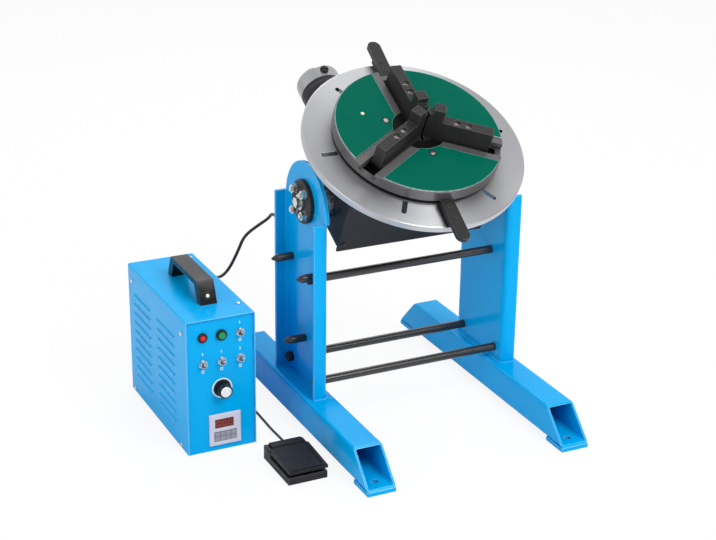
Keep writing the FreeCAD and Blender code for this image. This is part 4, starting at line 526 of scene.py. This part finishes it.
# %% Finish the jaws' screws and the table's slots
def paint_faces(node, choices):
    """Give a dressed node more materials; each choice is (material, test of the face middles in metres)."""
    mesh = looks[node].data
    middles = np.zeros(len(mesh.polygons) * 3)
    mesh.polygons.foreach_get("center", middles)
    middles = middles.reshape(-1, 3)
    index = np.zeros(len(middles), dtype=np.int32)
    for number, (material, test) in enumerate(choices, 1):
        mesh.materials.append(material)
        index[test(middles)] = number
    mesh.polygons.foreach_set("material_index", index)
    print(node, "faces of each finish:", np.bincount(index, minlength=len(choices) + 1))


jaw_screws_out = (0.054, 0.073)
screw_reach, screw_height = 0.00605, 0.0585
slots_from, slots_to, slot_top, slot_foot = 0.13, 0.18, -0.0008, -0.0113


def jaw_screws(direction):
    """A test for faces of the two cap screws of a jaw, in their counterbores."""
    def test(points):
        x, y, height = on_spindle(points)
        out = x * math.cos(direction) + y * math.sin(direction)
        side = y * math.cos(direction) - x * math.sin(direction)
        off = np.minimum(*(np.hypot(out - place, side) for place in jaw_screws_out))
        return (off < screw_reach) & (height < screw_height)
    return test


def in_slot(points):
    """Faces of the walls of the table's slots, under its top and inside its rim."""
    x, y, height = on_spindle(points)
    reach = np.hypot(x, y)
    return (reach > slots_from) & (reach < slots_to) & (height < slot_top) & (height > slot_foot)


for number, direction in enumerate((90.0, -30.0, 210.0), 1):
    paint_faces("top_jaw_%d" % number, [(zinc, jaw_screws(math.radians(direction)))])
paint_faces("table_disc", [(black_oxide, in_slot)])

# %% [markdown]
# ## The front panel
# The panel's fittings stand in three columns. The lamp and the button sit in glossy black rings, the knob
# turns on a pale dial, and the meter's window is dark red over a grey keypad. All are measured from the
# box's left side and from the panel's own face.

# %% Finish the panel's fittings
box_left, panel_y = -0.400, -0.046
panel_columns = (box_left + 0.0285, box_left + 0.060, box_left + 0.0915)
lamp_row, toggle_row, knob_row = 0.201, 0.1565, 0.109
lamp_place, button_place = (panel_columns[0], lamp_row), (panel_columns[1], lamp_row)
knob_place = (panel_columns[1], knob_row)
meter_place = (panel_columns[1] + 0.003, 0.0375)


def near(place, reach):
    """A test for faces of the panel that lie within a reach of a place given as x and z."""
    return lambda points: np.hypot(points[:, 0] - place[0], points[:, 2] - place[1]) < reach


lamp_ring, button_ring, dial_edge = 0.011, 0.012, 0.0235
paint_faces("panel_fittings", [(gloss_black, near(lamp_place, lamp_ring)),
                               (gloss_black, near(button_place, button_ring)),
                               (pale_dial, near(knob_place, dial_edge))])
paint_faces("meter_face", [(display_red, lambda points: points[:, 2] > meter_place[1]),
                           (keypad_grey, lambda points: points[:, 2] < meter_place[1])])

# %% [markdown]
# ## Small turned pieces
# A lens, a knob's cap and a screw's head are surfaces of revolution: a profile of radius against height is
# turned round an axis. Blender's Screw modifier could do it too, but here the points are worked out as whole
# arrays, without a loop over them, and each piece stands exactly where the numbers say.

# %% Turn profiles into pieces
steps_round = 48
axis_radius = 0.00002


def surface(name, points, faces, material, body, slot, smooth=True):
    """A mesh object from arrays of points and faces, tied to a body, with one material; slot is not used."""
    mesh = bpy.data.meshes.new(name)
    mesh.from_pydata(np.asarray(points).tolist(), [], np.asarray(faces).tolist())
    mesh.polygons.foreach_set("use_smooth", np.full(len(mesh.polygons), smooth))
    mesh.materials.append(material)
    obj = bpy.data.objects.new(name, mesh)
    bpy.context.scene.collection.objects.link(obj)
    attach(obj, body)
    print(name, "faces:", len(mesh.polygons))
    return obj


def grid_faces(rows, columns, wrap=True):
    """Quads that join a grid of points, closed round the columns if they wrap.

    number of a point = row * columns + column, and a quad joins it to the next in its row and in its column
    """
    row = np.arange(rows - 1)[:, None]
    column = np.arange(columns if wrap else columns - 1)[None, :]
    here, right = row * columns + column, row * columns + (column + 1) % columns
    return np.stack([here, right, right + columns, here + columns], -1).reshape(-1, 4)


def revolved(profile, place, axis):
    """Points of a profile of (radius, height) in metres turned about an axis through a place.

    point = place + height * axis + radius * (cos t * u + sin t * w), with t from 0 to a full turn
    """
    axis = Vector(axis).normalized()
    u = axis.orthogonal().normalized()
    w = axis.cross(u)
    radius, height = (np.array(v)[:, None, None] for v in zip(*profile))
    t = np.arange(steps_round)[None, :, None] * 2 * math.pi / steps_round
    return (np.array(place) + height * np.array(axis)
            + radius * (np.cos(t) * np.array(u) + np.sin(t) * np.array(w))).reshape(-1, 3)


def rounded_profile(width, height, corner):
    """A low disc's profile: its foot, its side, a quarter round of radius corner, and the flat top."""
    turn = np.linspace(0, math.pi / 2, 5)
    return [(width, 0.0)] + [(width - corner + corner * math.cos(a), height - corner + corner * math.sin(a))
                             for a in turn] + [(axis_radius, height)]


def turned_piece(name, profile, place, axis, material, body, slot):
    """A surface of revolution as an object of its own."""
    faces = grid_faces(len(profile), steps_round)
    return surface(name, revolved(profile, place, axis), faces, material, body, slot)


front = (0.0, -1.0, 0.0)
lens_radius, lens_barrel, lens_crown = 0.0045, 0.003, 0.0042
dome = [(lens_radius, -0.001), (lens_radius, lens_barrel)]
dome += [(lens_radius * math.cos(a), lens_barrel + lens_crown * math.sin(a))
         for a in np.linspace(0.15, 1.56, 9)]
lamp_lens = turned_piece("lamp_lens", dome, (lamp_place[0], panel_y, lamp_place[1]), front, red_lens, "root",
                         "red_lens")
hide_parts("pilot_lamp")

# %% [markdown]
# ## The speed knob
# The black knob has a cap of satin metal on its front, slightly dished, with a white line that shows where
# it is set. The cap is turned. The line is a thin upright block, and the panel's marks and keys will be
# blocks too, so one function makes a whole set of blocks as a single piece.

# %% Cap the knob and mark it
def blocks(name, x, z, face, proud, material, slot, body="root", sunk=0.0002):
    """Upright blocks on a face at y = face, as one piece; x and z hold each block's low and high edges.

    corner = low * (1 - c) + high * c, with c running over the eight corners, 0 or 1 on each axis
    """
    low = np.column_stack([x[0], np.full(len(x[0]), face - proud), z[0]])
    high = np.column_stack([x[1], np.full(len(x[1]), face + sunk), z[1]])
    c = np.array([[i & 1, (i >> 1) & 1, i >> 2] for i in range(8)])
    points = (low[:, None] * (1 - c) + high[:, None] * c).reshape(-1, 3)
    sides = np.array([(0, 4, 6, 2), (1, 3, 7, 5), (0, 1, 5, 4), (2, 6, 7, 3), (0, 2, 3, 1), (4, 5, 7, 6)])
    faces = (np.arange(len(low))[:, None, None] * 8 + sides).reshape(-1, 4)
    surface(name, points, faces, material, body, slot, smooth=False)


knob_front = panel_y - 0.018
cap_radius, cap_edge = 0.0088, 0.0006
cap = [(cap_radius, -0.0004), (cap_radius, cap_edge)]
cap += [(cap_radius - 0.0006 * k, cap_edge + 0.00035 * k ** 0.5) for k in (1, 2)]
cap += [(0.004, 0.0009), (axis_radius, cap_edge)]
turned_piece("knob_cap", cap, (knob_place[0], knob_front, knob_place[1]), front, satin_silver, "knob",
             "nickel")
line_x, line_z = np.array([[-0.0006], [0.0006]]), np.array([[0.0003], [0.0092]])
blocks("knob_pointer", knob_place[0] + line_x, knob_place[1] + line_z, knob_front, 0.0011, white_print,
       "black_plastic", "knob", sunk=0.00005)

# %% [markdown]
# ## The dial's marks
# The dial carries plain scale marks, one every 30 degrees, printed in white. An image could show them, but
# thin blocks stay sharp from close by and need no image.

# %% Mark the dial
ticks = np.radians(np.arange(-150, 151, 30))
tick_radius, tick_half = 0.0162, 0.0005
tick_x, tick_z = knob_place[0] + tick_radius * np.sin(ticks), knob_place[1] + tick_radius * np.cos(ticks)
blocks("dial_marks", (tick_x - tick_half, tick_x + tick_half), (tick_z - tick_half, tick_z + tick_half),
       panel_y, 0.0002, white_print, "nickel")

# %% [markdown]
# ## The meter's digits
# The meter shows plain zeros in seven segments, faintly, as it does while the machine stands still. Each
# segment is a block on a grid six units wide and eight high.

# %% Light the meter's segments
segments = {"a": (1, 7, 5, 8), "b": (5, 4.5, 6, 7.5), "c": (5, 0.5, 6, 3.5), "d": (1, 0, 5, 1),
            "e": (0, 0.5, 1, 3.5), "f": (0, 4.5, 1, 7.5), ".": (7, 0, 8, 1)}
faint_red = moulded("meter_digits_red", rgb(150, 62, 56), rgb(158, 68, 62), (0.3, 0.4), 0.02)
meter_front = panel_y - 0.004
digit_unit, digit_step = 0.00105, 0.0102
digits_left, digits_foot = meter_place[0] - 0.0151, meter_place[1] + 0.0068
lit = [(place, mark) for place, marks in enumerate(("abcdef.", "abcdef", "abcdef")) for mark in marks]
low_x, low_z, high_x, high_z = np.array([segments[mark] for _, mark in lit]).T * digit_unit
shift = np.array([place for place, _ in lit]) * digit_step + digits_left
blocks("meter_digits", (low_x + shift, high_x + shift), (low_z + digits_foot, high_z + digits_foot),
       meter_front, 0.0001, faint_red, "red_lens")

# %% [markdown]
# ## The switches' marks
# Each toggle has an I over it for on and an O under it for off. The letters are drawn with straight strokes
# on a small grid, like the meter's digits.

# %% Print the switches' marks
letters = {"O": ((0, 0, 1, 6), (4, 0, 5, 6), (1, 5, 4, 6), (1, 0, 4, 1)), "I": ((2, 0, 3, 6),)}
letter_unit, letter_left = 0.0008, 0.002
letter_lift = {"I": 0.0135, "O": -0.0165}
toggles = [(x, toggle_row) for x in panel_columns] + [(panel_columns[2], lamp_row)]
strokes = np.array([(x - letter_left, z + lift, *stroke) for x, z in toggles
                    for letter, lift in letter_lift.items() for stroke in letters[letter]])
low_x, high_x = (strokes[:, 0] + strokes[:, k] * letter_unit for k in (2, 4))
low_z, high_z = (strokes[:, 1] + strokes[:, k] * letter_unit for k in (3, 5))
blocks("switch_marks", (low_x, high_x), (low_z, high_z), panel_y, 0.00015, white_print, "nickel")

# %% [markdown]
# ## The meter's keys
# Eight flat keys stand in two rows of four under the meter's window. They are half a millimetre proud of
# the keypad, which is enough for each to catch a little light.

# %% Set the keys
key_columns, key_rows = np.arange(4) * 0.0092 - 0.0138, np.arange(2) * 0.0082 - 0.0156
key_x, key_z = (v.ravel() for v in np.meshgrid(meter_place[0] + key_columns, meter_place[1] + key_rows))
key_half_width, key_half_height = 0.0036, 0.003
blocks("meter_keys", (key_x - key_half_width, key_x + key_half_width),
       (key_z - key_half_height, key_z + key_half_height), meter_front, 0.0005, key_grey, "meter_plastic")

# %% [markdown]
# ## The carry handle's screws
# The strap handle is held by a bright screw in a dark recess at each of its sloping ends. Both are low
# discs with a rounded edge, turned about a line that stands square to the slope.

# %% Screw down the handle
handle_x, handle_z = -0.340, 0.2449
for name, y, lean_y in (("front", 0.0093, -0.908), ("rear", 0.1507, 0.908)):
    place, lean = (handle_x, y, handle_z), (0.0, lean_y, 0.419)
    turned_piece("handle_recess_" + name, rounded_profile(0.0062, 0.0004, 0.0003), place, lean, black_plastic,
                 "root", "black_plastic")
    turned_piece("handle_screw_" + name, rounded_profile(0.0032, 0.0012, 0.0008), place, lean, zinc, "root",
                 "zinc_fasteners")

# %% [markdown]
# ## The chuck's green plates
# Three painted plates cover the chuck's face between the jaws, with bright cut edges of bare steel that also
# serve as a painted highlight. Each is a sector with straight sides that run beside the jaws. A grid of radius
# by angle gives it an even mesh, whose outer rows and columns drop down to make the chamfer and the walls.

# %% Lay the plates
def sector_plates(strip, bore, rim, low, top, chamfer=0.0004, around=24, out=8):
    """Three plates between the jaw strips, as grids of radius by angle.

    A point at radius r and distance s beside a jaw's line lies at the angle asin(s / r) from the jaw. Rows run
    from the bore to the rim and columns from one strip to the next. height = min(row height, column height),
    which gives each plate a chamfered edge all round.
    """
    r = np.concatenate([[bore, bore, bore + chamfer], np.linspace(bore + chamfer, rim - chamfer, out)[1:],
                        [rim, rim]])
    row_height = np.array([low, top - chamfer] + [top] * out + [top - chamfer, low])
    beside = np.concatenate([[strip, strip], np.full(around, strip + chamfer), [strip, strip]])
    share = np.concatenate([[0, 0], np.linspace(0, 1, around), [1, 1]])
    column_height = np.array([low, top - chamfer] + [top] * around + [top - chamfer, low])
    lean = np.arcsin(beside[None, :] / r[:, None])
    angle = lean + share[None, :] * (math.radians(120) - 2 * lean)
    height = np.minimum(row_height[:, None], column_height[None, :])
    turn = np.radians([90.0, 210.0, 330.0])[:, None, None]
    x, across = r[:, None] * np.cos(angle + turn), r[:, None] * np.sin(angle + turn)
    points = np.stack(tilted_place(x, across, height), -1)
    one = grid_faces(len(r), len(beside), wrap=False)
    faces = (np.arange(3)[:, None, None] * len(r) * len(beside) + one).reshape(-1, 4)
    return points.reshape(-1, 3), faces


plate_top = 0.031
plates = sector_plates(strip=0.027, bore=chuck_bore, rim=0.136, low=0.0295, top=plate_top)
looks["face_plates"] = surface("look_face_plates", *plates, face_green, "table", "green_paint", smooth=False)
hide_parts("face_plates")
# chamfers and walls in bright steel: bare cut edges, and a painted highlight round the plates
paint_faces("face_plates", [(bright_steel, lambda points: on_spindle(points)[2] < plate_top - 0.0001)])

# %% [markdown]
# ## The plates' screws and the pale dot
# A bright screw lies in a shallow hole in the middle of each plate, and a pale dot is set in one of them. The
# hole could be cut, but it is shallow, so a dark disc under the screw, painted shade, stands for it.

# %% Screw down the plates
plate_screw_out = 0.054
for number, direction in enumerate((30.0, 150.0, 270.0), 1):
    turned_to = math.radians(direction)
    place = tilted_place(plate_screw_out * math.cos(turned_to), plate_screw_out * math.sin(turned_to),
                         plate_top)
    # painted shade: a dark disc where the hole's shade would be
    turned_piece("plate_hole_shade_%d" % number, rounded_profile(0.0066, 0.0001, 0.00005), place, spindle_up,
                 black_plastic, "table", "green_paint")
    turned_piece("plate_screw_%d" % number, rounded_profile(0.0042, 0.0004, 0.0003), place, spindle_up, zinc,
                 "table", "zinc_fasteners")
pale_dot = moulded("pale_dot", rgb(214, 208, 176), rgb(226, 220, 190), (0.4, 0.5))
turned_piece("plate_dot", rounded_profile(0.0030, 0.0004, 0.0002), tilted_place(-0.079, 0.048, plate_top),
             spindle_up, pale_dot, "table", "green_paint")

# %% [markdown]
# ## Weld beads
# The columns are welded to the skids and the ears to the columns. A bead is a tube along a path whose radius
# swells and shrinks by a few tenths of a millimetre, as the ripples of a weld do. It is painted over in blue
# like the rest, so only its shape shows that it is there.

# %% Lay the beads
def bead(name, corners, radius, flatten=(1.0, 1.0, 1.0), ripple=0.0022, around=10):
    """A rippled tube along straight runs: radius = R * (1 + 0.14 * |sin(pi * s / ripple)|), s along the path.

    point = centre + radius * (cos t * u + sin t * w), with u and w square to the run; the ends taper
    """
    corners = np.array(corners, float)
    runs = np.linalg.norm(np.diff(corners, axis=0), axis=1)
    along = np.concatenate([[0.0], np.cumsum(runs)])
    s_values = np.linspace(0, along[-1], int(along[-1] / ripple * 4) + 2)
    centre = np.column_stack([np.interp(s_values, along, corners[:, k]) for k in range(3)])
    ahead = np.gradient(centre, axis=0)
    ahead /= np.linalg.norm(ahead, axis=1)[:, None]
    u = np.cross(ahead, (0.0, 0.0, 1.0))
    u /= np.linalg.norm(u, axis=1)[:, None]
    w = np.cross(ahead, u)
    end = np.minimum(1.0, np.minimum(s_values, along[-1] - s_values) / radius + 0.15)
    r = (radius * end * (1 + 0.14 * np.abs(np.sin(np.pi * s_values / ripple))))[:, None, None]
    t = (np.arange(around) * 2 * math.pi / around)[None, :, None]
    ring = r * (np.cos(t) * u[:, None] + np.sin(t) * w[:, None]) * np.array(flatten)
    surface(name, (centre[:, None] + ring).reshape(-1, 3), grid_faces(len(centre), around), blue, "root",
            "blue_paint")


skid_top, column_front, column_rear, bend = 0.061, -0.0625, 0.0955, 0.004
for side, name in ((-1, "left"), (1, "right")):
    web, lip = side * 0.163, side * 0.188
    foot = [(lip, column_front), (web + side * bend, column_front), (web, column_front + bend),
            (web, column_rear - bend), (web + side * bend, column_rear), (lip, column_rear)]
    bead("foot_bead_" + name, [(x, y, skid_top) for x, y in foot], 0.0021)
    for face, x in (("out", 0.168), ("in", 0.1625)):
        bead("ear_bead_%s_%s" % (name, face), [(side * x, -0.0615, 0.3622), (side * x, 0.0945, 0.3738)],
             0.0026, flatten=(0.35, 1.0, 1.0))

# %% [markdown]
# ## The floor
# The machine stands on a plain pale floor that runs out into a white background. A brighter lamp would
# whiten the floor and the machine alike. A material can tell a camera ray from a light ray instead, so the
# floor looks nearly white to the eye and still keeps the machine's shadow.

# %% Lay the floor
white = (1.0, 1.0, 1.0, 1.0)
floor_white, floor_reach, floor_z = 0.88, 30.0, -0.0005
floor_finish = Finish("pale_floor")
floor_finish.set(Base_Color=(0.85, 0.85, 0.85, 1.0), Roughness=0.9)
floor_glow = floor_finish.add("ShaderNodeEmission", {}, Color=white, Strength=1.0)
floor_rays = floor_finish.add("ShaderNodeLightPath")
floor_share = floor_finish.math("MULTIPLY", (floor_rays, "Is Camera Ray"), floor_white)
floor_mix = floor_finish.add("ShaderNodeMixShader", {}, i0=floor_share, i1=(floor_finish.shader, 0),
                             i2=(floor_glow, 0))
floor_finish.join(floor_finish.tree.nodes["Material Output"], "Surface", (floor_mix, 0))
floor_mesh = bpy.data.meshes.new("floor")
floor_corners = [(x * floor_reach, y * floor_reach, floor_z) for x, y in ((-1, -1), (1, -1), (1, 1), (-1, 1))]
floor_mesh.from_pydata(floor_corners, [], [(0, 1, 2, 3)])
floor_mesh.materials.append(floor_finish.done())
floor = bpy.data.objects.new("floor", floor_mesh)
bpy.context.scene.collection.objects.link(floor)

# %% [markdown]
# ## The studio around
# A room lights the machine from all sides and is what its metal reflects. This one grows brighter from the
# front, where the camera stands, to the back, so turned steel has a light and a dark side. The camera itself
# sees plain white.

# %% Light the room
world = bpy.data.worlds.new("studio")
bpy.context.scene.world = world
world.use_nodes = True
sky = Nodes(world.node_tree)
facing = sky.add("ShaderNodeSeparateXYZ", {}, i0=(sky.add("ShaderNodeTexCoord"), "Generated"))
front_strength, back_strength = 0.44, 0.95
sky_light = sky.tree.nodes["Background"]
sky.join(sky_light, "Color", white)
sky.join(sky_light, "Strength", sky.spread((facing, "Y"), -0.35, 0.5, front_strength, back_strength))
sky_white = sky.add("ShaderNodeBackground", {}, Color=white, Strength=1.0)
rays = sky.add("ShaderNodeLightPath")
seen = sky.math("MAXIMUM", (rays, "Is Camera Ray"), (rays, "Is Transmission Ray"))
sky_mix = sky.add("ShaderNodeMixShader", {}, i0=seen, i1=(sky_light, 0), i2=(sky_white, 0))
sky.join(sky.tree.nodes["World Output"], "Surface", (sky_mix, 0))
print("room nodes:", len(sky.tree.nodes))

# %% [markdown]
# ## The lamps
# Three large square lamps stand round the machine: the key in front and high, a weak fill at the left and
# one behind that draws the upper edges. A large lamp has a soft shadow, which suits a machine with many
# small parts. The Standard view leaves colours as they are written.

# %% Set the lamps
def soft_lamp(name, place, size, power):
    """A large square lamp that looks at the middle of the machine; size in metres, power in watts."""
    lamp = bpy.data.lights.new(name, "AREA")
    lamp.size, lamp.energy = size, power
    obj = bpy.data.objects.new(name, lamp)
    bpy.context.scene.collection.objects.link(obj)
    obj.location = place
    obj.rotation_euler = (Vector((0.0, 0.0, 0.25)) - obj.location).to_track_quat("-Z", "Y").to_euler()
    print(name, "watts:", power)


soft_lamp("key_lamp", (0.4, -1.9, 2.2), 1.4, 56.0)
soft_lamp("fill_lamp", (-2.3, -0.8, 1.3), 1.6, 15.0)
soft_lamp("rear_lamp", (0.6, 2.0, 2.2), 1.2, 20.0)
bpy.context.scene.view_settings.view_transform = "Standard"
